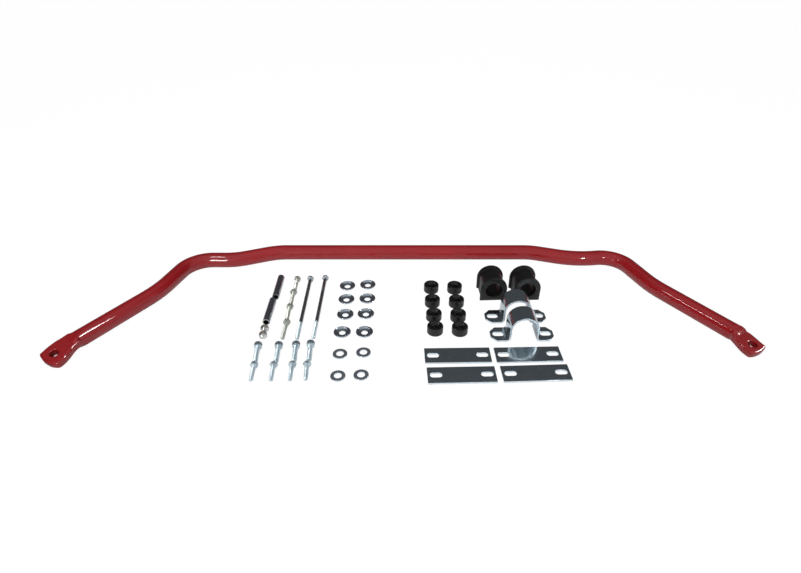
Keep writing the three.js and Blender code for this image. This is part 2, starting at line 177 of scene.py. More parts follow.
EYE_RIGHT = [(-14.2, 43.0), (-3.6, 39.6), (0.2, 33.4), (3.0, 26.7), (6.8, 22.0), (12.1, 11.8), (15.9, 3.5), (19.3, -2.6), (18.4, -5.9), (14.6, -9.6), (10.0, -13.0), (5.6, -15.4), (1.1, -17.2), (-3.2, -18.4), (-7.9, -18.8), (-11.8, -17.5), (-16.4, -10.0), (-20.2, 0.6), (-22.6, 9.6), (-25.6, 19.0), (-29.0, 27.0), (-33.2, 34.5), (-36.6, 42.0), (-29.0, 48.0)]
EYE_T, EYE_EDGE, EYE_HOLE_R, EYE_TILT = 13.0, 3.8, 6.6, 11.0
EYE_MID_LEFT = (-535.5, -303.1, 11.8)
EYE_MID_RIGHT = (555.5, -281.5, 11.8)
FLATTEN_LEFT = (-259.0, -278.0)
FLATTEN_RIGHT = (-245.0, -258.5)


def fillet(V, rad, step):
    out = [np.array(V[0], float)]
    for i in range(1, len(V) - 1):
        a, b, d = (np.array(V[i + k], float) for k in (-1, 0, 1))
        u, w = (a - b) / np.linalg.norm(a - b), (d - b) / np.linalg.norm(d - b)
        th = math.acos(max(-1, min(1, float(u @ w))))
        turn = math.pi - th
        t = min(rad[i - 1] * math.tan(turn / 2), 0.49 * np.linalg.norm(a - b), 0.49 * np.linalg.norm(d - b))
        r = t / math.tan(turn / 2)
        bis = (u + w) / np.linalg.norm(u + w)
        cen = b + bis * (r / math.sin(th / 2))
        p1, p2 = b + u * t - cen, b + w * t - cen
        a1 = math.atan2(p1[1], p1[0])
        da = math.atan2(p2[1], p2[0]) - a1
        da = (da + math.pi) % (2 * math.pi) - math.pi
        n = max(6, int(abs(da) * r / step))
        out += [cen + r * np.array([math.cos(a1 + da * k / n), math.sin(a1 + da * k / n)]) for k in range(n + 1)]
    out.append(np.array(V[-1], float))
    return out


def arm_line(arm):
    """Start, direction and length of the arm's straight last stretch."""
    a, b = np.array(arm[-2], float), np.array(arm[-1], float)
    return a, (b - a) / np.linalg.norm(b - a)


def cut_point(arm, flatten):
    """Where the drawn tube hands over to the forged end, 14 mm before the flattening."""
    a, d = arm_line(arm)
    return a + d * ((flatten[0] - a[1]) / d[1] - 14.0)


def dense(pts, step):
    out = [pts[0]]
    for p, q in zip(pts[:-1], pts[1:]):
        n = max(1, int(np.linalg.norm(q - p) / step))
        out += [p + (q - p) * (i / n) for i in range(1, n + 1)]
    return out


def tube_mesh():
    def side(arm, bends, flatten):
        p = fillet([(0, 0), *arm], bends, 2.5)
        p[-1] = cut_point(arm, flatten) + arm_line(arm)[1] * 0.6
        return dense(p, 8.0)
    L, R = side(ARM_LEFT, BEND_LEFT, FLATTEN_LEFT), side(ARM_RIGHT, BEND_RIGHT, FLATTEN_RIGHT)
    path = np.array(L[::-1] + R[1:])
    keep = [0]
    for i in range(1, len(path)):
        if np.linalg.norm(path[i] - path[keep[-1]]) > 0.3:
            keep.append(i)
    path = path[keep]
    tan = np.gradient(path, axis=0)
    d = np.diff(path, axis=0)
    d /= np.linalg.norm(d, axis=1)[:, None]
    tan[1:-1] = d[1:] + d[:-1]
    tan[0], tan[-1] = d[0], d[-1]
    tan /= np.linalg.norm(tan, axis=1)[:, None]
    n = 80
    t = 2 * np.pi * (np.arange(n) + 0.5) / n
    verts, rows = [], []
    for k, (p, u) in enumerate(zip(path, tan)):
        r = BAR_R - (0.04 if k in (0, len(path) - 1) else 0.0)
        rows.append(list(range(len(verts), len(verts) + n)))
        for a in t:
            verts.append((p[0] - u[1] * r * math.cos(a) - SX, p[1] + u[0] * r * math.cos(a) - SY, BAR_R + r * math.sin(a)))
    faces = grid_faces(rows)
    for row in (rows[0], rows[-1]):
        faces.append(tuple(row))
    return mesh_of("bar_tube", verts, faces, 40)


def smooth_loop(pts, n=9):
    """Catmull-Rom through a closed loop."""
    P = np.array(pts, float)
    out = []
    m = len(P)
    for i in range(m):
        p0, p1, p2, p3 = P[i - 1], P[i], P[(i + 1) % m], P[(i + 2) % m]
        for k in range(n):
            t = k / n
            out.append(0.5 * ((2 * p1) + (p2 - p0) * t + (2 * p0 - 5 * p1 + 4 * p2 - p3) * t * t + (3 * p1 - p0 - 3 * p2 + p3) * t ** 3))
    return np.array(out)


def loop_distance(loop, lo, hi, h):
    """Signed distance to a closed loop on a grid, negative inside."""
    xs, ys = np.arange(lo[0], hi[0] + h, h), np.arange(lo[1], hi[1] + h, h)
    X, Y = np.meshgrid(xs, ys, indexing="ij")
    best = np.full(X.shape, 1e9)
    inside = np.zeros(X.shape, bool)
    for a, b in zip(loop, np.roll(loop, -1, 0)):
        e = b - a
        L = float(e @ e) + 1e-12
        t = np.clip(((X - a[0]) * e[0] + (Y - a[1]) * e[1]) / L, 0, 1)
        best = np.minimum(best, (X - a[0] - t * e[0]) ** 2 + (Y - a[1] - t * e[1]) ** 2)
        c = (a[1] > Y) != (b[1] > Y)
        with np.errstate(divide="ignore", invalid="ignore"):
            xi = (b[0] - a[0]) * (Y - a[1]) / (b[1] - a[1]) + a[0]
        inside ^= c & (X < xi)
    D = np.sqrt(best)
    D[inside] *= -1
    def look(x, y):
        u = np.clip((x - lo[0]) / h, 0, D.shape[0] - 1.001)
        v = np.clip((y - lo[1]) / h, 0, D.shape[1] - 1.001)
        i, j = u.astype(int), v.astype(int)
        fu, fv = u - i, v - j
        return (D[i, j] * (1 - fu) + D[i + 1, j] * fu) * (1 - fv) + (D[i, j + 1] * (1 - fu) + D[i + 1, j + 1] * fu) * fv
    return look


def smin(a, b, k):
    h = np.clip(0.5 + 0.5 * (b - a) / k, 0, 1)
    return b + (a - b) * h - k * h * (1 - h)


def smax(a, b, k):
    return -smin(-a, -b, k)


def surface_nets(F, origin, h):
    """Vertices and quads of the zero surface of F on a grid."""
    S = F < 0
    nx, ny, nz = F.shape
    corner = [(i, j, k) for i in (0, 1) for j in (0, 1) for k in (0, 1)]
    cell = sum(S[i:nx - 1 + i, j:ny - 1 + j, k:nz - 1 + k].astype(int) for i, j, k in corner)
    act = (cell > 0) & (cell < 8)
    idx = -np.ones(act.shape, int)
    idx[act] = np.arange(act.sum())
    I, J, K = np.nonzero(act)
    total = np.zeros((len(I), 3))
    count = np.zeros(len(I))
    for a in corner:
        for b in corner:
            d = [b[i] - a[i] for i in range(3)]
            if sorted(d) != [0, 0, 1]:
                continue
            fa, fb = F[I + a[0], J + a[1], K + a[2]], F[I + b[0], J + b[1], K + b[2]]
            m = (fa < 0) != (fb < 0)
            t = np.where(m, fa / np.where(m, fa - fb, 1), 0)
            p = np.array(a, float)[None, :] + t[:, None] * np.array(d, float)[None, :]
            total[m] += p[m]
            count[m] += 1
    V = np.stack([I, J, K], 1) + total / count[:, None]
    V = V * h + np.array(origin, float)
    quads = []
    for ax in range(3):
        u, v = [(1, 2), (2, 0), (0, 1)][ax]
        sl0, sl1 = [slice(None)] * 3, [slice(None)] * 3
        sl0[ax], sl1[ax] = slice(0, -1), slice(1, None)
        ch = S[tuple(sl0)] != S[tuple(sl1)]
        P = np.stack(np.nonzero(ch), 1)
        ok = (P[:, u] > 0) & (P[:, v] > 0) & (P[:, u] < F.shape[u] - 1) & (P[:, v] < F.shape[v] - 1)
        P = P[ok]
        def cid(du, dv):
            q = P.copy()
            q[:, u] -= du
            q[:, v] -= dv
            return idx[q[:, 0], q[:, 1], q[:, 2]]
        c = [cid(1, 1), cid(0, 1), cid(0, 0), cid(1, 0)]
        Q = np.stack(c, 1)
        flip = ~S[P[:, 0], P[:, 1], P[:, 2]]
        Q[flip] = Q[flip][:, ::-1]
        Q = Q[(Q >= 0).all(1)]
        quads.append(Q)
    return V, np.concatenate(quads)


def eye_mesh(name, arm, flatten, outline, mid):
    A, D = arm_line(arm)
    c = cut_point(arm, flatten)
    ct, st = math.cos(EYE_TILT * DEG), math.sin(EYE_TILT * DEG)
    loop = smooth_loop(outline)
    lo, hi = loop.min(0) - 12, loop.max(0) + 12
    d2 = loop_distance(loop, lo, hi, 0.3)
    top_y, flat_y = flatten
    # the press's ramps: each runs between the round bar and one face of the flat eye
    def face_z(y, side):
        return mid[2] + side * EYE_T / 2 / ct + (y - mid[1]) * st / ct
    s0, s1 = (top_y - A[1]) / D[1], (flat_y - A[1]) / D[1]

    def field(P):
        x, y, z = P[:, 0], P[:, 1], P[:, 2]
        s = (x - A[0]) * D[0] + (y - A[1]) * D[1]
        w = -(x - A[0]) * D[1] + (y - A[1]) * D[0]
        cyl = np.sqrt(w * w + (z - BAR_R) ** 2) - BAR_R
        def above(side):
            flat = side * ((z - mid[2]) * ct - (y - mid[1]) * st) - EYE_T / 2
            zf = face_z(flat_y, side)
            z0 = 2 * BAR_R if side > 0 else 0.0
            slope = (z0 - zf) / (s0 - s1)
            ramp = side * (z - (zf + slope * (s - s1))) / math.hypot(1, slope)
            return smin(flat, ramp, 1.6)
        neck = smax(smax(cyl, above(1), 1.5), above(-1), 1.5)
        # past the ramps only the slab goes on
        neck = smax(neck, s - (s1 + 1.5), 6.0)
        lx, ly, lz = x - mid[0], (y - mid[1]) * ct + (z - mid[2]) * st, -(y - mid[1]) * st + (z - mid[2]) * ct
        a, b = d2(lx, ly) + EYE_EDGE, np.abs(lz) - EYE_T / 2 + EYE_EDGE
        slab = np.hypot(np.maximum(a, 0), np.maximum(b, 0)) + np.minimum(np.maximum(a, b), 0) - EYE_EDGE
        # behind its flat the slab sinks into the round of the bar
        g = np.clip((s - (s1 - 14)) / 18, 0, 1)
        slab = smax(slab, cyl + 3.2 - 16 * g * g * (3 - 2 * g), 2.5)
        body = smin(neck, slab, 3.0)
        # keep the plain round where the bar starts
        t = np.clip((s0 - 1 - s) / 8, 0, 1)
        body = body * (1 - t) + cyl * t
        hole = EYE_HOLE_R - np.hypot(lx, ly)
        return smax(body, hole, 1.9)

    h = 0.62
    o = np.array([min(lo[0] + mid[0], c[0] - 22), min(lo[1] + mid[1] + 6, -400 + 400 + lo[1] + mid[1]), -1.6])
    e = np.array([max(hi[0] + mid[0], c[0] + 22), c[1] + 14, 30.4])
    n = ((e - o) / h).astype(int) + 1
    X, Y, Z = np.meshgrid(*(o[i] + h * np.arange(n[i]) for i in range(3)), indexing="ij")
    P = np.stack([X.ravel(), Y.ravel(), Z.ravel()], 1)
    F = np.concatenate([field(P[i:i + 400000]) for i in range(0, len(P), 400000)]).reshape(n)
    V, Q = surface_nets(F, o, h)
    for _ in range(4):
        f = field(V)
        g = np.stack([(field(V + np.eye(3)[i] * 0.05) - field(V - np.eye(3)[i] * 0.05)) / 0.1 for i in range(3)], 1)
        V = V - g * (f / np.maximum((g * g).sum(1), 0.05))[:, None]
    me = bpy.data.meshes.new(name)
    me.from_pydata(((V - np.array([SX, SY, 0])) * MM).tolist(), [], Q.tolist())
    bm = bmesh.new()
    bm.from_mesh(me)
    co = Vector(((c[0] - SX) * MM, (c[1] - SY) * MM, 0))
    bmesh.ops.bisect_plane(bm, geom=bm.verts[:] + bm.edges[:] + bm.faces[:], dist=1e-7, plane_co=co, plane_no=Vector((-D[0], -D[1], 0)), clear_outer=True)
    loose = [v for v in bm.verts if not v.link_faces]
    bmesh.ops.delete(bm, geom=loose, context="VERTS")
    edge = [q for q in bm.edges if q.is_boundary]
    bmesh.ops.holes_fill(bm, edges=edge, sides=0)
    bmesh.ops.recalc_face_normals(bm, faces=bm.faces)
    bm.to_mesh(me)
    bm.free()
    me.shade_smooth()
    # shading normals straight from the forged shape, so the paint's highlights run clean
    V = np.empty(len(me.vertices) * 3)
    me.vertices.foreach_get("co", V)
    V = V.reshape(-1, 3) / MM + np.array([SX, SY, 0])
    g = np.stack([field(V + np.eye(3)[i] * 0.12) - field(V - np.eye(3)[i] * 0.12) for i in range(3)], 1)
    g /= np.maximum(np.linalg.norm(g, axis=1), 1e-9)[:, None]
    me.normals_split_custom_set_from_vertices(g.tolist())
    return me


# -------------------------------------------------------------- flat strip
def blank(name, outline, holes, t, edge):
    """A flat plate of that outline with holes, its edges rounded, standing on z = 0, as vertices and faces in mm."""
    cu = bpy.data.curves.new(name, "CURVE")
    cu.dimensions = "2D"
    cu.fill_mode = "BOTH"
    cu.extrude = (t / 2 - edge) * MM
    cu.bevel_depth = edge * MM
    cu.bevel_resolution = 2
    cu.offset = -edge * MM
    for loop in [outline, *holes]:
        sp = cu.splines.new("POLY")
        sp.points.add(len(loop) - 1)
        for p, (x, y) in zip(sp.points, loop):
            p.co = (x * MM, y * MM, 0, 1)
        sp.use_cyclic_u = True
    ob = bpy.data.objects.new(name, cu)
    scene.collection.objects.link(ob)
    bpy.context.view_layer.update()
    me = bpy.data.meshes.new_from_object(ob.evaluated_get(bpy.context.evaluated_depsgraph_get()))
    bpy.data.objects.remove(ob)
    bpy.data.curves.remove(cu)
    bm = bmesh.new()
    bm.from_mesh(me)
    bmesh.ops.remove_doubles(bm, verts=bm.verts, dist=1e-6)
    bmesh.ops.translate(bm, verts=bm.verts, vec=(0, 0, t / 2 * MM))
    bpy.data.meshes.remove(me)
    return bm


def slot_line(length, width, cx, cy=0.0, n=14):
    r = width / 2
    a = length / 2 - r
    out = [(cx + a + r * math.cos(t), cy + r * math.sin(t)) for t in np.linspace(-math.pi / 2, math.pi / 2, n + 1)]
    out += [(cx - a + r * math.cos(t), cy + r * math.sin(t)) for t in np.linspace(math.pi / 2, 3 * math.pi / 2, n + 1)]
    return out


def finish_bm(bm, name, sharp=28):
    bmesh.ops.recalc_face_normals(bm, faces=bm.faces)
    me = bpy.data.meshes.new(name)
    bm.to_mesh(me)
    bm.free()
    me.shade_smooth()
    me.set_sharp_from_angle(angle=sharp * DEG)
    return me


def plate_mesh():
    L, Wd, T = 104.6, 34.3, 3.2
    c = 0.5
    line = []
    for sx, sy, a0 in ((1, -1, -90), (1, 1, 0), (-1, 1, 90), (-1, -1, 180)):
        line += [(sx * (L / 2 - c) + c * math.cos((a0 + k * 22.5) * DEG), sy * (Wd / 2 - c) + c * math.sin((a0 + k * 22.5) * DEG)) for k in range(5)]
    bm = blank("plate", line, [slot_line(18.8, 10.0, k * 38.9)[::-1] for k in (-1, 1)], T, 0.28)
    return finish_bm(bm, "plate", 14)


def clamp_mesh():
    T, Wd, IN, H, LEN, RB = 3.2, 34.3, 20.6, 47.4, 104.5, 4.0
    t = T / 2
    xw, rb = IN + t, RB + t
    R, zc = xw, H - t - xw
    foot = LEN / 2 - xw - rb
    q = rb * math.pi / 2
    wall = zc - (t + rb)
    half = foot + q + wall + R * math.pi / 2
    sl = LEN / 2 - 39.2  # the slot's middle from the foot's end
    cx, cy = 9.2, 10.2
    u1, v1 = half, Wd / 2
    rnd = 0.8
    line = [(-u1, -v1 + cy), (-u1 + cx, -v1), (u1 - cx, -v1), (u1, -v1 + cy), (u1, v1 - cy), (u1 - cx, v1), (-u1 + cx, v1), (-u1, v1 - cy)]
    soft = []
    m = len(line)
    for i in range(m):
        a, b, d = (np.array(line[(i + k) % m], float) for k in (-1, 0, 1))
        u, w = (a - b) / np.linalg.norm(a - b), (d - b) / np.linalg.norm(d - b)
        for k in range(4):
            s = k / 3
            p, r2 = b + u * rnd, b + w * rnd
            soft.append(tuple((1 - s) ** 2 * p + 2 * s * (1 - s) * b + s * s * r2))
    bm = blank("clamp", soft, [slot_line(18.5, 10.6, k * (half - sl))[::-1] for k in (-1, 1)], T, 0.3)
    cuts = []
    for sgn in (-1, 1):
        e = half
        b0 = e - foot
        cuts += [sgn * (b0 - q * i / 8) for i in range(9)]
        cuts += [sgn * (R * math.pi / 2 + wall * i / 4) for i in range(4)]
        cuts += [sgn * (R * math.pi / 2) * i / 22 for i in range(23)]
    for u in sorted(set(round(c, 4) for c in cuts)):
        bmesh.ops.bisect_plane(bm, geom=bm.verts[:] + bm.edges[:] + bm.faces[:], dist=1e-7, plane_co=(u * MM, 0, 0), plane_no=(1, 0, 0))
    for v in bm.verts:
        u, w = v.co.x / MM, v.co.z / MM - t
        sgn = 1 if u >= 0 else -1
        a = abs(u)
        if a <= R * math.pi / 2:
            th = a / R
            x, z, nx, nz = R * math.sin(th), zc + R * math.cos(th), math.sin(th), math.cos(th)
        elif a <= R * math.pi / 2 + wall:
            x, z, nx, nz = R, zc - (a - R * math.pi / 2), 1, 0
        elif a <= half - foot:
            th = (a - R * math.pi / 2 - wall) / rb
            x, z = R + rb - rb * math.cos(th), t + rb - rb * math.sin(th)
            nx, nz = math.cos(th), math.sin(th)
        else:
            x, z, nx, nz = LEN / 2 - (half - a), t, 0, 1
        v.co = Vector((sgn * (x + nx * w) * MM, v.co.y, (z + nz * w) * MM))
    return finish_bm(bm, "clamp", 14)


# -------------------------------------------------------------- frame bush
def bush_mesh():
    L, T = 22.0, 4.6
    bore, bz = 14.4, 21.8
    n_arc, n_side, n_base = 48, 10, 24

    def outline(half, height, foot):
        zc = height - half
        pts = [(half * math.cos(math.pi * i / n_arc), zc + half * math.sin(math.pi * i / n_arc)) for i in range(n_arc + 1)]
        pts += [(-half + (half - foot) * i / n_side, zc * (1 - i / n_side)) for i in range(1, n_side + 1)]
        pts += [(-foot + 2 * foot * i / n_base, 0) for i in range(1, n_base + 1)]
        pts += [(foot + (half - foot) * i / n_side, zc * i / n_side) for i in range(1, n_side)]
        return np.array(pts)

    def shrink(p, d):
        if d == 0:
            return p
        e = np.roll(p, -1, 0) - np.roll(p, 1, 0)
        e /= np.linalg.norm(e, axis=1)[:, None]
        q = p - np.stack([e[:, 1], -e[:, 0]], 1) * d
        return q

    B, Fl = outline(20.3, 44.0, 20.3), outline(23.7, 47.0, 23.3)
    rows, verts = [], []

    def add(p, y):
        rows.append(list(range(len(verts), len(verts) + len(p))))
        verts.extend((a, y, b) for a, b in p)

    ang = np.arctan2(Fl[:, 1] - bz, Fl[:, 0])
    ring = lambda r: np.stack([r * np.cos(ang), bz + r * np.sin(ang)], 1)
    rr = 0.9
    # from the front bore mouth outward, along the outside, and back through the bore
    add(ring(bore), -L + 1.0)
    add(ring(bore + 0.35), -L + 0.3)
    add(ring(bore + 1.0), -L)
    add(shrink(Fl, rr) * 0.55 + ring(bore + 1.0) * 0.45, -L)
    for a in (0, 22.5, 45, 67.5, 90):
        add(shrink(Fl, rr * (1 - math.sin(a * DEG))), -L + rr * (1 - math.cos(a * DEG)))
    for a in (0, 45, 90):
        add(shrink(Fl, rr * 0.6 * (1 - math.cos(a * DEG))), -L + T - 0.6 * rr * (1 - math.sin(a * DEG)))
    for a in (0, 30, 60, 90):
        k = 1.1
        s = 1 - math.sin(a * DEG)
        add(B * (1 - 0.28 * s) + Fl * 0.28 * s if True else B, -L + T + k * (1 - math.cos(a * DEG)))
    for i in range(1, 8):
        add(B, -L + T + 1.1 + (2 * L - 2 * T - 2.2) * i / 8)
    half_rows = len(rows)
    mirrored = []
    for r in rows[::-1]:
        pass
    # mirror the first half for the back flange
    first = [np.array([verts[i] for i in row]) for row in rows[:half_rows - 7]]
    for p in first[::-1]:
        rows.append(list(range(len(verts), len(verts) + len(p))))
        verts.extend((a, -y, b) for a, y, b in p)
    for i in range(1, 8):
        add(ring(bore), L - 1.0 - (2 * L - 2.0) * i / 8)
    faces = grid_faces(rows, closed_v=True)
    return mesh_of("bush", verts, faces, 34)


# ------------------------------------------------------ turned small parts
def cup_mesh():
    """A pressed cup washer: a nearly flat middle that turns up into a rolled rim."""
    ro, ri, t, h = 14.35, 5.4, 1.6, 4.3
    e = 0.3
    inner = [(ri + 0.9, t), (7.6, t + 0.02), (9.0, t + 0.14), (10.2, t + 0.38), (11.2, t + 0.75), (12.0, t + 1.22), (12.6, t + 1.75), (13.0, t + 2.25)]
    lip = [(13.2, h - 0.16), (13.42, h - 0.03), (13.68, h), (13.98, h - 0.08), (14.22, h - 0.32), (ro, h - 0.7)]
    outer = [(ro - 0.02, h - 1.2), (ro - 0.3, 2.35), (ro - 0.85, 1.65), (ro - 1.6, 1.05), (ro - 2.6, 0.58), (ro - 3.8, 0.24), (ro - 5.2, 0.06), (ro - 6.4, 0.0), (ri + e, 0.0)]
    loop = inner + lip + outer + [(ri + 0.08, 0.1), (ri, e), (ri, t - e), (ri + 0.1, t - 0.1), (ri + 0.4, t - 0.01), (ri + 0.9, t)]
    v, f = lathe(loop, 72)
    return mesh_of("cup", v, f, 40)


def washer_mesh():
    ro, ri, t, e = 11.7, 5.95, 1.7, 0.28
    p = [(ri + e, 0), (ro - e, 0), (ro - 0.08, 0.08), (ro, e), (ro, t - 0.5), (ro - 0.12, t - 0.2), (ro - 0.45, t - 0.02), (ro - 0.8, t), (ri + 0.5, t), (ri + 0.12, t - 0.1), (ri, t - 0.4), (ri, e), (ri + 0.08, 0.08), (ri + e, 0)]
    v, f = lathe(p, 72)
    return mesh_of("washer", v, f, 40)


def grommet_mesh():
    ro, ri, h = 13.4, 4.8, 14.4
    p = [(ri + 0.6, 0), (ro - 1.6, 0), (ro - 1.0, 0.12), (ro - 0.4, 0.5), (ro - 0.1, 1.0), (ro, 1.7), (ro, h / 2), (ro, h - 2.8)]
    p += arc(ro - 1.7, h - 1.9 + 0.2, 1.7, 0, 90, 6)
    p += [(ro - 2.6, h - 0.05), (ro - 3.3, h - 0.35), (ro - 4.0, h - 0.95), (ri + 2.6, h - 2.5), (ri + 1.6, h - 3.1), (ri + 0.7, h - 3.45), (ri + 0.2, h - 3.7), (ri, h - 4.2), (ri, h / 2), (ri, 0.6), (ri + 0.2, 0.15), (ri + 0.6, 0)]
    v, f = lathe(p, 72)
    return mesh_of("grommet", v, f, 50)


def sleeve_mesh(length):
    ro, ri, e = 6.35, 4.6, 0.3
    p = [(ri + 0.35, 0), (ro - e, 0), (ro - 0.08, 0.09), (ro, e), (ro, length / 2), (ro, length - e), (ro - 0.08, length - 0.09), (ro - e, length), (ri + 0.35, length), (ri + 0.08, length - 0.1), (ri, length - 0.4), (ri, length / 2), (ri, 0.4), (ri + 0.08, 0.1), (ri + 0.35, 0)]
    v, f = lathe(p, 64)
    return mesh_of("sleeve", v, f, 40)


# ---------------------------------------------------------------- fasteners
def hex_r(t, af):
    k = (t % (math.pi / 3)) - math.pi / 6
    return af / 2 / math.cos(k)


def hex_seg(per=14):
    """Angles round a hexagon, with one at each corner."""
    return 6 * per


def merge(parts):
    verts, faces = [], []
    for v, f in parts:
        o = len(verts)
        verts.extend(v)
        faces.extend([tuple(i + o for i in q) for q in f])
    return verts, faces


def thread_rows(r, pitch, z0, z1, seg, depth, per=8, chamfer=0.9, run=1.0):
    """Rows of (list of (x, y, z)) for a rod threaded from z0 up to z1."""
    n = int(math.ceil((z1 - z0) / (pitch / per)))
    rows = []
    for k in range(n + 1):
        z = z0 + (z1 - z0) * k / n
        row = []
        for i in range(seg):
            t = 2 * math.pi * i / seg
            f = (z / pitch - i / seg) % 1.0
            cut = min(1.0, max(0.0, 1.6 * (0.5 - abs(f - 0.5)) / 0.5 - 0.18))  # 0 at crest, 1 at root
            d = depth * cut
            if z1 - z < run * pitch:
                d *= max(0.0, (z1 - z) / (run * pitch))
            q = r - d
            q = min(q, r - chamfer + (z - z0) * 1.1) if z - z0 < chamfer else q
            row.append((q * math.cos(t), q * math.sin(t), z))
        rows.append(row)
    return rows


def rod_solid(rows, z_end=None):
    """Closes a stack of rings, capped at both ends."""
    verts, idx = [], []
    for r in rows:
        idx.append(list(range(len(verts), len(verts) + len(r))))
        verts.extend(r)
    faces = grid_faces(idx)
    faces.append(tuple(idx[0]))
    faces.append(tuple(idx[-1]))
    return verts, faces


def hex_head_rows(af, z0, h, seg):
    """A hex head from z0 up: a round washer face below, flats, and the chamfered top."""
    R = af / math.sqrt(3)
    rows = []
    def ring(fun, z):
        rows.append([(fun(2 * math.pi * i / seg) * math.cos(2 * math.pi * i / seg), fun(2 * math.pi * i / seg) * math.sin(2 * math.pi * i / seg), z) for i in range(seg)])
    ring(lambda t: af / 2 * 0.2, z0)
    ring(lambda t: af / 2 * 0.93, z0)
    ring(lambda t: af / 2 * 0.95, z0 + 0.05)
    ring(lambda t: af / 2 * 0.96, z0 + 0.22)
    ring(lambda t: hex_r(t, af) - 0.12, z0 + 0.24)
    ring(lambda t: hex_r(t, af), z0 + 0.36)
    drop = (R - af / 2 * 0.96) * 0.6
    top = z0 + h
    for k in range(11):
        z = top - drop + (drop - 0.02) * k / 10
        cone = af / 2 * 0.96 + (top - z) / 0.6
        ring(lambda t: min(hex_r(t, af), cone), z)
    ring(lambda t: af / 2 * 0.94, top)
    ring(lambda t: af / 2 * 0.55, top - 0.0)
    ring(lambda t: af / 2 * 0.5, top - 0.18)
    ring(lambda t: af / 2 * 0.1, top - 0.2)
    return rows


def hex_bolt_mesh(name, af, h, r, length, pitch, threaded, seg=32):
    depth = pitch * 0.55
    rows = thread_rows(r, pitch, 0.0, min(threaded, length), seg, depth)
    # a blunt end on the rod
    rows = [[(x * 0.55, y * 0.55, -0.0) for x, y, z in rows[0]]] + rows
    if threaded < length:
        for z in (threaded + 0.3, threaded + (length - threaded) / 2, length - 0.5):
            rows.append([(r * math.cos(2 * math.pi * i / seg), r * math.sin(2 * math.pi * i / seg), z) for i in range(seg)])
    rows.append([((r + 0.35) * math.cos(2 * math.pi * i / seg), (r + 0.35) * math.sin(2 * math.pi * i / seg), length + 0.02) for i in range(seg)])
    rows.append([((r + 0.35) * math.cos(2 * math.pi * i / seg), (r + 0.35) * math.sin(2 * math.pi * i / seg), length + 0.3) for i in range(seg)])
    a = rod_solid(rows)
    b = rod_solid(hex_head_rows(af, length, h, 84))
    v, f = merge([a, b])
    return mesh_of(name, v, f, 30)


def cap_screw_mesh():
    R, h, sock, depth, r, length, pitch = 6.5, 8.0, 6.0, 4.0, 4.0, 31.8, 1.25
    seg = 32
    rows = thread_rows(r, pitch, 0.0, length - 0.4, seg, pitch * 0.55)
    rows = [[(x * 0.55, y * 0.55, 0.0) for x, y, z in rows[0]]] + rows
    for z in (length - 0.2, length + 0.3):
        rows.append([((r + 0.3) * math.cos(2 * math.pi * i / seg), (r + 0.3) * math.sin(2 * math.pi * i / seg), z) for i in range(seg)])
    a = rod_solid(rows)
    n = 288
    verts, idx = [], []

    def ring(fun, z):
        idx.append(list(range(len(verts), len(verts) + n)))
        for i in range(n):
            t = 2 * math.pi * i / n
            q = fun(t, i)
            verts.append((q * math.cos(t), q * math.sin(t), z))
    knurl = lambda t, i: R - (0.0, 0.06, 0.17, 0.06)[i % 4]
    ring(lambda t, i: 1.0, length)
    ring(lambda t, i: R - 0.55, length)
    ring(lambda t, i: R - 0.2, length + 0.12)
    ring(lambda t, i: R - 0.05, length + 0.45)
    ring(lambda t, i: R, length + 0.9)
    ring(lambda t, i: R, length + 1.5)
    ring(knurl, length + 1.8)
    for k in range(1, 5):
        ring(knurl, length + 1.8 + (h - 3.2) * k / 4)
    top = length + h
    ring(lambda t, i: R - 0.12, top - 1.15)
    for a_ in (20, 45, 70, 90):
        ring(lambda t, i: R - 0.15 - 0.85 * (1 - math.cos(a_ * DEG)), top - 1.0 + 1.0 * math.sin(a_ * DEG))
    ring(lambda t, i: hex_r(t, sock) + 0.5, top)
    ring(lambda t, i: hex_r(t, sock) + 0.12, top - 0.12)
    ring(lambda t, i: hex_r(t, sock), top - 0.45)
    ring(lambda t, i: hex_r(t, sock), top - depth / 2)
    ring(lambda t, i: hex_r(t, sock), top - depth)
    ring(lambda t, i: min(hex_r(t, sock), sock / 2) * 0.5, top - depth - 0.35)
    ring(lambda t, i: 0.1, top - depth - 0.8)
    faces = grid_faces(idx)
    faces.append(tuple(idx[0]))
    faces.append(tuple(idx[-1]))
    v, f = merge([a, (verts, faces)])
    return mesh_of("cap_screw", v, f, 26)


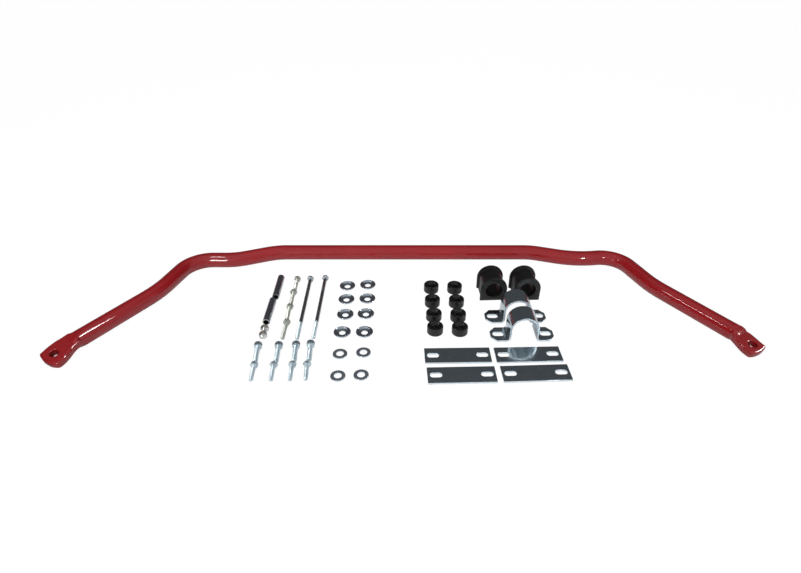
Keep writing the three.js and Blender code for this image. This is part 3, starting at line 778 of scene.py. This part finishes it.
def nut_mesh():
    """A hex lock nut's metal body with its rolled collar, standing on z = 0; its plastic ring is the separate
    nut_insert_mesh.
    """
    af, H, bore, hz = 12.7, 8.7, 3.65, 6.4
    seg = 84
    R = af / math.sqrt(3)
    drop = (R - af / 2 * 0.97) * 0.6
    verts, idx = [], []

    def ring(fun, z):
        idx.append(list(range(len(verts), len(verts) + seg)))
        for i in range(seg):
            t = 2 * math.pi * i / seg
            q = fun(t)
            verts.append((q * math.cos(t), q * math.sin(t), z))
    C = af / 2 * 0.93
    ring(lambda t: bore, 1.0)
    ring(lambda t: bore + 0.8, 0.0)
    ring(lambda t: af / 2 * 0.97, 0.0)
    for k in range(7):
        z = (drop - 0.02) * (k + 0.3) / 7
        ring(lambda t: min(hex_r(t, af), af / 2 * 0.97 + z / 0.6), z)
    ring(lambda t: hex_r(t, af), drop + 0.1)
    for k in range(9):
        z = hz - drop + (drop - 0.02) * k / 8
        ring(lambda t: min(hex_r(t, af), af / 2 * 0.97 + (hz - z) / 0.6), z)
    ring(lambda t: C + 0.15, hz + 0.05)
    ring(lambda t: C, hz + 0.3)
    ring(lambda t: C, H - 1.6)
    for a_ in (20, 45, 70, 90):
        ring(lambda t: C - 1.5 * (1 - math.cos(a_ * DEG)), H - 1.5 + 1.5 * math.sin(a_ * DEG))
    ring(lambda t: bore + 0.75, H - 0.25)
    ring(lambda t: bore + 0.62, H - 0.6)
    ring(lambda t: bore + 0.62, H - 2.0)
    faces = []
    # the bore is threaded with shallow grooves
    n = 30
    for k in range(1, n):
        z = H - 2.1 - (H - 3.1) * k / n
        ring(lambda t: bore + 0.22 * math.cos(2 * math.pi * (z / 1.0 - t / (2 * math.pi))), z)
    faces = grid_faces(idx, closed_v=True)
    return mesh_of("nut", verts, faces, 30)


def nut_insert_mesh():
    v, f = lathe([(3.3, 6.75), (4.2, 6.75), (4.2, 8.1), (3.95, 8.22), (3.5, 8.15), (3.3, 7.9), (3.3, 6.75)], 48)
    return mesh_of("nut_insert", v, f, 40)


# --------------------------------------------------------------- materials
class Nodes:
    """A short way to write a node tree."""

    def __init__(self, name):
        self.mat = bpy.data.materials.new(name)
        self.mat.use_nodes = True
        self.nt = self.mat.node_tree
        self.nt.nodes.clear()
        self.out = self.nt.nodes.new("ShaderNodeOutputMaterial")
        self.bsdf = self.nt.nodes.new("ShaderNodeBsdfPrincipled")
        self.link(self.bsdf.outputs[0], self.out.inputs[0])
        tc = self.nt.nodes.new("ShaderNodeTexCoord")
        self.obj = tc.outputs["Object"]

    def link(self, a, b):
        self.nt.links.new(a, b)

    def node(self, kind, **props):
        n = self.nt.nodes.new(kind)
        for k, v in props.items():
            setattr(n, k, v)
        return n

    def put(self, socket, value):
        if hasattr(value, "is_output"):
            self.link(value, socket)
        else:
            socket.default_value = value

    def coords(self, scale=(1, 1, 1), rot=(0, 0, 0), loc=(0, 0, 0), src=None):
        m = self.node("ShaderNodeMapping")
        self.link(src or self.obj, m.inputs["Vector"])
        m.inputs["Scale"].default_value = scale
        m.inputs["Rotation"].default_value = rot
        m.inputs["Location"].default_value = loc
        return m.outputs[0]

    def noise(self, scale, detail=4, rough=0.55, distort=0.0, vec=None, lac=2.0):
        n = self.node("ShaderNodeTexNoise")
        self.link(vec or self.obj, n.inputs["Vector"])
        n.inputs["Scale"].default_value = scale
        n.inputs["Detail"].default_value = detail
        n.inputs["Roughness"].default_value = rough
        n.inputs["Lacunarity"].default_value = lac
        n.inputs["Distortion"].default_value = distort
        return n.outputs["Fac"]

    def voronoi(self, scale, vec=None, feature="F1", out="Distance", rand=1.0):
        n = self.node("ShaderNodeTexVoronoi", feature=feature)
        self.link(vec or self.obj, n.inputs["Vector"])
        n.inputs["Scale"].default_value = scale
        n.inputs["Randomness"].default_value = rand
        return n.outputs[out]

    def math(self, op, a, b=0.0, c=0.0, clamp=False):
        n = self.node("ShaderNodeMath", operation=op, use_clamp=clamp)
        for s, v in zip(n.inputs, (a, b, c)):
            self.put(s, v)
        return n.outputs[0]

    def ramp(self, fac, stops, mode="LINEAR"):
        n = self.node("ShaderNodeValToRGB")
        self.link(fac, n.inputs[0])
        cr = n.color_ramp
        cr.interpolation = mode
        while len(cr.elements) > 1:
            cr.elements.remove(cr.elements[-1])
        first = True
        for p, c in stops:
            c = (c, c, c, 1) if not hasattr(c, "__len__") else (*c, 1)
            if first:
                e = cr.elements[0]
                e.position = p
                first = False
            else:
                e = cr.elements.new(p)
            e.color = c
        return n.outputs[0]

    def mix(self, fac, a, b, blend="MIX"):
        n = self.node("ShaderNodeMix", data_type="RGBA", blend_type=blend)
        self.put(n.inputs[0], fac)
        for i, v in ((6, a), (7, b)):
            if hasattr(v, "is_output"):
                self.link(v, n.inputs[i])
            else:
                n.inputs[i].default_value = (*v, 1) if len(v) == 3 else v
        return n.outputs[2]

    def bump(self, height, strength, dist=0.0002, normal=None):
        n = self.node("ShaderNodeBump")
        self.link(height, n.inputs["Height"])
        n.inputs["Strength"].default_value = strength
        n.inputs["Distance"].default_value = dist
        if normal is not None:
            self.link(normal, n.inputs["Normal"])
        return n.outputs[0]

    def set(self, **kw):
        for k, v in kw.items():
            self.put(self.bsdf.inputs[k.replace("_", " ")], v if not isinstance(v, tuple) or len(v) != 3 else (*v, 1))


def red_paint():
    m = Nodes("red_paint")
    a = m.noise(7, 3, 0.5)
    b = m.noise(190, 3, 0.6)
    c = m.mix(m.ramp(a, [(0.35, 0.0), (0.7, 1.0)]), (0.300, 0.0066, 0.0096), (0.345, 0.0086, 0.0120))
    c = m.mix(m.ramp(b, [(0.60, 0.0), (0.80, 0.30)]), c, (0.25, 0.005, 0.008))
    # a few specks of dust sunk in the gloss
    v = m.voronoi(150)
    speck = m.ramp(v, [(0.016, 1.0), (0.035, 0.0)])
    c = m.mix(m.math("MULTIPLY", speck, 0.30), c, (0.42, 0.06, 0.06))
    r = m.ramp(m.noise(26, 4, 0.6), [(0.35, 0.32), (0.7, 0.42)])
    m.set(Base_Color=c, Roughness=m.math("ADD", r, m.math("MULTIPLY", speck, 0.1)), Coat_Weight=1.0, Coat_Roughness=0.022, Coat_IOR=1.5, IOR=1.2)
    # faint orange peel
    m.set(Normal=m.bump(m.noise(110, 2, 0.45), 0.04, 0.00012))
    m.link(m.bump(m.noise(95, 1, 0.4), 0.010, 0.00012), m.bsdf.inputs["Coat Normal"])
    return m.mat


def polyurethane(name, gloss):
    m = Nodes(name)
    a = m.noise(60, 5, 0.6)
    c = m.mix(m.ramp(a, [(0.3, 0.0), (0.75, 1.0)]), (0.0035, 0.0035, 0.0034), (0.0062, 0.0062, 0.0060))
    dust = m.ramp(m.noise(700, 4, 0.7), [(0.60, 0.0), (0.74, 1.0)])
    c = m.mix(m.math("MULTIPLY", dust, 0.25), c, (0.030, 0.030, 0.030))
    r = m.ramp(m.noise(90, 5, 0.65), [(0.3, gloss), (0.75, gloss + 0.16)])
    m.set(Base_Color=c, Roughness=r, IOR=1.5)
    n = m.bump(m.noise(1300, 3, 0.6), 0.16, 0.00012)
    n = m.bump(m.noise(170, 3, 0.5), 0.12, 0.00025, n)
    m.set(Normal=n)
    return m.mat


def zinc(name, tint, rough, scratch_axis=0, scratch=1.0, dark=(0.30, 0.32, 0.35), mottle=0.35, bump=1.0):
    """Zinc plate: slightly mottled, with fine scratches along one direction and small pits."""
    m = Nodes(name)
    info = m.node("ShaderNodeObjectInfo")
    off = m.node("ShaderNodeCombineXYZ")
    r10 = m.math("MULTIPLY", info.outputs["Random"], 3.0)
    for i in range(3):
        m.link(r10, off.inputs[i])
    add = m.node("ShaderNodeVectorMath", operation="ADD")
    m.link(m.obj, add.inputs[0])
    m.link(off.outputs[0], add.inputs[1])
    P = add.outputs[0]
    cloud = m.ramp(m.noise(85, 5, 0.62, 0.4, vec=P), [(0.36, 0.0), (0.66, 1.0)])
    c = m.mix(m.math("MULTIPLY", cloud, mottle), tint, dark)
    s = [90.0, 90.0, 90.0]
    s[scratch_axis] = 3.0
    lines = m.noise(24, 6, 0.72, vec=m.coords(tuple(s), rot=(0, 0, 0.05), src=P))
    fine = m.ramp(lines, [(0.52, 0.0), (0.62, 1.0)])
    lines2 = m.noise(14, 4, 0.7, vec=m.coords(tuple(q * 0.8 for q in s), rot=(0, 0, 0.62), src=P))
    fine2 = m.ramp(lines2, [(0.63, 0.0), (0.70, 1.0)])
    c = m.mix(m.math("MULTIPLY", fine, 0.16 * scratch), c, (0.85, 0.87, 0.9))
    spots = m.ramp(m.voronoi(380, vec=P), [(0.05, 1.0), (0.12, 0.0)])
    c = m.mix(m.math("MULTIPLY", spots, 0.35), c, (0.86, 0.88, 0.9))
    rr = m.math("ADD", m.math("MULTIPLY", cloud, 0.07), rough)
    rr = m.math("ADD", rr, m.math("MULTIPLY", fine, 0.08 * scratch))
    rr = m.math("ADD", rr, m.math("MULTIPLY", spots, 0.2))
    m.set(Base_Color=c, Metallic=1.0, Roughness=rr)
    n = m.bump(lines, 0.05 * scratch * bump, 0.00006)
    n = m.bump(fine2, 0.08 * scratch * bump, 0.00005, n)
    n = m.bump(m.noise(900, 3, 0.6, vec=P), 0.045 * bump, 0.00008, n)
    m.set(Normal=n)
    return m.mat


def edges_painted_bright(me, axis):
    """Painted reflection: the sheared edges get a lighter zinc than the rolled faces, standing in for the pale floor
    they mirror; axis 1 for a bent strip's two long edges, 2 for all that isn't a flat face.
    """
    me.materials.append(ZINC_PLATE)
    me.materials.append(ZINC_PAINTED_REFLECTION)
    for p in me.polygons:
        k = abs(p.normal[axis])
        p.material_index = int(k > 0.6 if axis == 1 else k < 0.6)


RED = red_paint()
RUBBER = polyurethane("polyurethane", 0.30)
RUBBER_SOFT = polyurethane("polyurethane_grommet", 0.26)
ZINC_PLATE = zinc("zinc_plate", (0.64, 0.73, 0.77), 0.11, 0, 1.0, dark=(0.50, 0.56, 0.60))
# a lighter copy of the plate zinc for the edges: a painted reflection of the pale floor
ZINC_PAINTED_REFLECTION = zinc("zinc_edge_painted_reflection", (0.84, 0.92, 0.96), 0.24, 0, 0.3, dark=(0.70, 0.77, 0.81))
ZINC_CUP = zinc("zinc_cup", (0.60, 0.66, 0.72), 0.15, 0, 0.4, dark=(0.46, 0.50, 0.54))
ZINC_FLAT = zinc("zinc_flat", (0.72, 0.79, 0.85), 0.26, 0, 0.6, dark=(0.55, 0.60, 0.65))
ZINC_BOLT = zinc("zinc_bolt", (0.72, 0.83, 0.87), 0.33, 1, 0.2, dark=(0.60, 0.69, 0.73), mottle=0.25, bump=0.1)
ZINC_NUT = zinc("zinc_nut", (0.80, 0.80, 0.77), 0.14, 2, 0.3, dark=(0.60, 0.59, 0.58), mottle=0.3, bump=0.5)
OLIVE = zinc("yellow_zinc", (0.66, 0.68, 0.60), 0.36, 1, 0.2, dark=(0.52, 0.54, 0.46), mottle=0.25, bump=0.1)
DARK = zinc("dark_zinc", (0.48, 0.51, 0.56), 0.18, 2, 0.3, mottle=0.12, bump=0.15)
SHANK = zinc("dark_zinc_shank", (0.50, 0.50, 0.52), 0.20, 1, 0.3, mottle=0.12, bump=0.12)


def insert_mat():
    m = Nodes("nut_ring")
    c = m.mix(m.noise(300, 3), (0.20, 0.145, 0.10), (0.30, 0.22, 0.16))
    m.set(Base_Color=c, Roughness=m.ramp(m.noise(500, 3), [(0.3, 0.35), (0.7, 0.5)]))
    m.set(Normal=m.bump(m.noise(1200, 3), 0.1, 0.0001))
    return m.mat


RING = insert_mat()

# ------------------------------------------------------------------ pieces
tube = piece("bar_tube", tube_mesh(), RED, "bar", "sway_bar")
for side, arm, fl, line, mid in (("left", ARM_LEFT, FLATTEN_LEFT, EYE_LEFT, EYE_MID_LEFT), ("right", ARM_RIGHT, FLATTEN_RIGHT, EYE_RIGHT, EYE_MID_RIGHT)):
    piece(f"bar_eye_{side}", eye_mesh(f"bar_eye_{side}", arm, fl, line, mid), RED, "bar", None)

bush_me = bush_mesh()
for side, x, y, a in (("left", 164.8, -120.0, 2.8), ("right", 224.3, -120.0, 2.8)):
    piece(f"bush_{side}", bush_me, RUBBER, f"bush_{side}", f"frame_bush_{side}", at(x, y, 0, a))

clamp_me = clamp_mesh()
# the clamp's two long edges take the lighter zinc: painted reflection
edges_painted_bright(clamp_me, 1)
for side, x, y, a in (("left", 197.2, -191.3, 0.8), ("right", 200.2, -239.4, 0.8)):
    piece(f"clamp_{side}", clamp_me, ZINC_PLATE, f"clamp_{side}", f"bush_clamp_{side}", at(x, y, 0, a))

plate_me = plate_mesh()
# the plate's rims take the lighter zinc: painted reflection
edges_painted_bright(plate_me, 2)
for i, (x, y, a) in enumerate([(90.2, -292.1, 1.1), (201.8, -289.9, 1.8), (92.8, -336.3, 1.6), (206.0, -332.4, 2.3)], 1):
    piece(f"plate_{i}", plate_me, ZINC_PLATE, "plates", f"base_plate_{i}", at(x, y, 0, a))

cup_me = cup_mesh()
for i, (x, y) in enumerate([(-98.2, -100.2), (-60.7, -96.6), (-96.9, -142.4), (-59.5, -140.3), (-95.4, -186.8), (-60.0, -185.1), (-96.7, -235.0), (-59.8, -234.5)], 1):
    piece(f"cup_{i}", cup_me, ZINC_CUP, "cups_left" if i % 2 else "cups_right", f"cup_washer_{i}", at(x, y, 0, 37 * i))

wash_me = washer_mesh()
for i, (x, y) in enumerate([(-96.1, -286.8), (-59.0, -283.5), (-95.0, -336.8), (-59.8, -334.8)], 1):
    piece(f"washer_{i}", wash_me, ZINC_FLAT, "washers", f"flat_washer_{i}", at(x, y, 0, 53 * i))

grom_me = grommet_mesh()
for i, (x, y) in enumerate([(56.3, -111.2), (56.4, -154.3), (57.1, -194.9), (57.5, -231.2), (98.9, -112.6), (98.9, -155.6), (98.5, -196.1), (98.4, -232.4)], 1):
    piece(f"grommet_{i}", grom_me, RUBBER_SOFT, "grommets_left" if i < 5 else "grommets_right", f"link_grommet_{i}", at(x, y, 0, 41 * i))

sleeve_me = sleeve_mesh(63.5)
# the sleeve's two end rings take the brighter nut zinc: a painted reflection of the lit floor in front of them
sleeve_me.materials.append(DARK)
sleeve_me.materials.append(ZINC_NUT)
for p in sleeve_me.polygons:
    p.material_index = 1 if abs(p.normal.z) > 0.35 else 0
for side, a, b in (("left", (-224.4, -77.4), (-224.0, -140.9)), ("right", (-226.8, -149.9), (-227.0, -213.4))):
    turn = math.atan2(-(a[0] - b[0]), a[1] - b[1])
    M = Matrix.Translation(W(b[0], b[1], 6.35)) @ Matrix.Rotation(turn, 4, "Z") @ Matrix.Rotation(-math.pi / 2, 4, "X")
    piece(f"sleeve_{side}", sleeve_me, DARK, f"sleeve_{side}", f"spacer_sleeve_{side}", M)

nut_me, ring_me = nut_mesh(), nut_insert_mesh()
for side, x, y, a in (("left", -227.0, -226.6, 4), ("right", -226.4, -243.8, -8)):
    piece(f"nut_{side}", nut_me, ZINC_NUT, "nuts", f"link_nut_{side}", at(x, y, 0, a))
    piece(f"nut_ring_{side}", ring_me, RING, "nuts", None, at(x, y, 0, a))


def lying(head_r, rod_r, length, x, y_tip, lean, roll, lowest):
    """A bolt lying on the ground, resting on its head and its tip, as the CAD lays it."""
    tilt = math.atan2(head_r - rod_r, length)
    R = Matrix.Rotation(lean * DEG, 4, "Z") @ Matrix.Rotation(tilt, 4, "X") @ Matrix.Rotation(-math.pi / 2, 4, "X") @ Matrix.Rotation(roll * DEG, 4, "Z")
    p = W(x, y_tip, 0)
    M = Matrix.Translation(p) @ R
    # shifted by the given lowest height; lay passes 0 and sets the bolt's own mesh down on its lowest point
    return Matrix.Translation((0, 0, lowest)) @ M


def lay(name, me, mat, body, node, head_r, rod_r, length, x, y, lean, roll):
    M = lying(head_r, rod_r, length, x, y, lean, roll, 0)
    co = np.array([v.co for v in me.vertices])
    R = np.array(M.to_3x3())
    low = (co @ R.T)[:, 2].min() + M.translation.z
    own = me.copy()
    own.name = name
    own.transform(Matrix.Translation((0, 0, -low)) @ M)
    return piece(name, own, mat, body, node)


link_me = hex_bolt_mesh("link_bolt", 11.1, 4.4, 3.3, 169.7, 1.27, 41.0)
link_me.materials.append(SHANK)
link_me.materials.append(ZINC_BOLT)
for p in link_me.polygons:
    z = p.center.z / MM
    p.material_index = 1 if z > 169.6 or z < 41.2 else 0
lay("link_bolt_a", link_me, DARK, "bolt_left", "link_bolt_left", 5.55, 3.3, 169.7, -169.0, -253.2, 0, 0)
lay("link_bolt_b", link_me, DARK, "bolt_right", "link_bolt_right", 5.55, 3.3, 169.7, -142.6, -250.8, -0.4, 0)

hex_me = hex_bolt_mesh("hex_bolt", 11.1, 4.4, 3.3, 38.4, 1.27, 37.0)
for i in range(4):
    lay(f"hex_bolt_{i + 1}_fine", hex_me, OLIVE, "hex_bolts", f"hex_bolt_{i + 1}", 5.55, 3.3, 38.4, (-193.4, -194.0, -193.7, -193.0)[i], (-122.6, -165.8, -209.0, -252.8)[i], (0, 0, 0, -1.2)[i], (0, 7, -6, 3)[i])

cap_me = cap_screw_mesh()
for i, (x, y, a) in enumerate([(-225.7, -308.9, 3.6), (-193.3, -308.6, 2.6), (-165.5, -307.2, 3.2), (-142.4, -305.0, 3.0)]):
    lay(f"cap_screw_{i + 1}_fine", cap_me, ZINC_BOLT, "cap_screws", f"cap_screw_{i + 1}", 6.5, 4.0, 31.8, x, y, a, i * 9)

row_me = hex_bolt_mesh("clamp_bolt", 11.1, 4.4, 3.35, 30.2, 1.27, 29.0)
for i, (x, y, a) in enumerate([(-223.9, -349.4, 2.0), (-194.0, -349.8, 1.5), (-165.4, -349.4, 1.8), (-141.9, -348.0, 3.4)]):
    lay(f"clamp_bolt_{i + 1}_fine", row_me, ZINC_BOLT, "clamp_bolts", f"clamp_bolt_{i + 1}", 5.55, 3.35, 30.2, x, y, a, (0, 6, -5, 3)[i])

# ---------------------------------------------------------- floor and light
def floor():
    """A pale table: seen straight on it is nearly pure white, and in the gloss of the pieces it is a
    white sheet that ends a little behind the bar, with darkness past it."""
    bm = bmesh.new()
    bmesh.ops.create_grid(bm, x_segments=2, y_segments=2, size=1)
    me = bpy.data.meshes.new("floor")
    bm.to_mesh(me)
    bm.free()
    o = bpy.data.objects.new("floor", me)
    o.scale = (9.0, 9.0, 1)
    o.location = (0, 0, -0.0004)
    scene.collection.objects.link(o)
    m = bpy.data.materials.new("floor")
    m.use_nodes = True
    nt = m.node_tree
    nt.nodes.clear()
    out = nt.nodes.new("ShaderNodeOutputMaterial")
    seen = nt.nodes.new("ShaderNodeAddShader")
    d = nt.nodes.new("ShaderNodeBsdfDiffuse")
    d.inputs[0].default_value = (0.07, 0.07, 0.07, 1)
    e = nt.nodes.new("ShaderNodeEmission")
    e.inputs[0].default_value = (1, 1, 1, 1)
    e.inputs[1].default_value = 0.97
    nt.links.new(d.outputs[0], seen.inputs[0])
    nt.links.new(e.outputs[0], seen.inputs[1])
    # what the pieces see: white paper inside a soft-edged rectangle
    geo = nt.nodes.new("ShaderNodeNewGeometry")
    sep = nt.nodes.new("ShaderNodeSeparateXYZ")
    nt.links.new(geo.outputs["Position"], sep.inputs[0])
    def edge(sock, a, b):
        n = nt.nodes.new("ShaderNodeMapRange")
        n.interpolation_type = "SMOOTHSTEP"
        nt.links.new(sock, n.inputs[0])
        n.inputs[1].default_value, n.inputs[2].default_value = a, b
        return n.outputs[0]
    def times(a, b):
        n = nt.nodes.new("ShaderNodeMath")
        n.operation = "MULTIPLY"
        nt.links.new(a, n.inputs[0])
        nt.links.new(b, n.inputs[1])
        return n.outputs[0]
    x, y = sep.outputs["X"], sep.outputs["Y"]
    sheet = times(times(edge(x, -0.60, -0.50), edge(x, 1.10, 0.80)), edge(y, 0.215, 0.175))
    mixc = nt.nodes.new("ShaderNodeMix")
    mixc.data_type = "RGBA"
    nt.links.new(sheet, mixc.inputs[0])
    mixc.inputs[6].default_value = (0.055, 0.057, 0.062, 1)
    mixc.inputs[7].default_value = (0.86, 0.86, 0.865, 1)
    table = nt.nodes.new("ShaderNodeBsdfDiffuse")
    nt.links.new(mixc.outputs[2], table.inputs[0])
    lp = nt.nodes.new("ShaderNodeLightPath")
    pick = nt.nodes.new("ShaderNodeMixShader")
    nt.links.new(lp.outputs["Is Camera Ray"], pick.inputs[0])
    nt.links.new(table.outputs[0], pick.inputs[1])
    nt.links.new(seen.outputs[0], pick.inputs[2])
    nt.links.new(pick.outputs[0], out.inputs[0])
    me.materials.append(m)
    return o


floor()


def area(name, loc, target, size, radiance, color=(1, 1, 1), gloss=True, spread=180, soft=True):
    """A soft box of that radiance; with gloss off it lights without being mirrored."""
    d = bpy.data.lights.new(name, "AREA")
    d.shape = "RECTANGLE"
    d.size, d.size_y = size
    half = spread * DEG / 2
    # a narrow grid on the box concentrates it; this keeps the given radiance straight ahead
    grid = 1.0 if spread >= 180 else math.tan(half) / (math.tan(half) - half)
    d.energy = radiance * math.pi * size[0] * size[1] / grid
    d.color = color
    d.spread = spread * DEG
    o = bpy.data.objects.new(name, d)
    o.location = loc
    o.rotation_mode = "QUATERNION"
    o.rotation_quaternion = (Vector(target) - Vector(loc)).to_track_quat("-Z", "Y")
    o.visible_camera = False
    o.visible_glossy = gloss
    o.visible_diffuse = soft
    scene.collection.objects.link(o)
    return o


# the broad light that the table and the paint are lit by, from above and a little to the left
area("fill", (-0.45, -0.25, 2.3), (0, 0.06, 0), (1.5, 1.3), 5.2, gloss=False, spread=62)
area("fill_front", (-0.45, -1.65, 1.35), (0, 0.06, 0), (1.5, 0.9), 6.6, gloss=False, spread=62)
# the soft boxes that show in the gloss: two beside the camera, one high on the left, one at each
# side, and small ones near the eyes
area("front_left", (-0.80, -1.20, 0.62), (-0.33, 0.13, 0), (0.30, 0.34), 34, spread=50, soft=False)
area("front_right", (0.81, -1.20, 0.95), (0.38, 0.13, 0), (0.14, 0.24), 70, spread=30, soft=False)
area("above_left", (-1.05, -0.28, 2.10), (-0.34, 0.13, 0), (0.5, 0.12), 30, spread=15, soft=False)
area("side_left", (-0.90, -0.15, 1.22), (0.46, 0, 0), (0.32, 0.06), 46, spread=40, soft=False)
area("side_right", (0.97, 0.03, 2.5), (-0.53, -0.12, 0), (0.22, 0.09), 26, spread=12, soft=False)
area("right_eye", (1.12, -0.16, 0.44), (0.55, -0.11, 0), (0.34, 0.26), 60, spread=40, soft=False)
area("left_eye", (0.235, -0.12, 0.94), (-0.54, -0.15, 0.02), (0.12, 0.24), 95, spread=12.5, soft=False)

world = bpy.data.worlds.new("room")
scene.world = world
world.use_nodes = True
nt = world.node_tree
nt.nodes.clear()
wout = nt.nodes.new("ShaderNodeOutputWorld")
tc = nt.nodes.new("ShaderNodeTexCoord")
sep = nt.nodes.new("ShaderNodeSeparateXYZ")
nt.links.new(tc.outputs["Generated"], sep.inputs[0])


def room(stops):
    r = nt.nodes.new("ShaderNodeValToRGB")
    nt.links.new(sep.outputs["Z"], r.inputs[0])
    cr = r.color_ramp
    while len(cr.elements) > 1:
        cr.elements.remove(cr.elements[-1])
    for i, (p, v) in enumerate(stops):
        e = cr.elements[0] if i == 0 else cr.elements.new(p)
        e.position = p
        e.color = (v * 0.97, v, v * 1.06, 1)
    return r.outputs[0]


# dark behind the table, a dim ceiling, and a brighter room behind the camera and to the right
back = room([(0.0, 0.076), (0.70, 0.070), (0.86, 0.27), (0.96, 0.46)])
front = room([(0.0, 0.42), (0.5, 0.46), (0.9, 0.52)])
aim = nt.nodes.new("ShaderNodeMath")
aim.operation = "MULTIPLY_ADD"
nt.links.new(sep.outputs["X"], aim.inputs[0])
aim.inputs[1].default_value = -0.35
nt.links.new(sep.outputs["Y"], aim.inputs[2])
side = nt.nodes.new("ShaderNodeMapRange")
side.interpolation_type = "SMOOTHSTEP"
nt.links.new(aim.outputs[0], side.inputs[0])
side.inputs[1].default_value, side.inputs[2].default_value = 0.05, -0.55
blend = nt.nodes.new("ShaderNodeMix")
blend.data_type = "RGBA"
nt.links.new(side.outputs[0], blend.inputs[0])
nt.links.new(back, blend.inputs[6])
nt.links.new(front, blend.inputs[7])
lit, plain = nt.nodes.new("ShaderNodeBackground"), nt.nodes.new("ShaderNodeBackground")
nt.links.new(blend.outputs[2], lit.inputs[0])
plain.inputs[0].default_value = (1, 1, 1, 1)
lp = nt.nodes.new("ShaderNodeLightPath")
pick = nt.nodes.new("ShaderNodeMixShader")
nt.links.new(lp.outputs["Is Camera Ray"], pick.inputs[0])
nt.links.new(lit.outputs[0], pick.inputs[1])
nt.links.new(plain.outputs[0], pick.inputs[2])
nt.links.new(pick.outputs[0], wout.inputs[0])
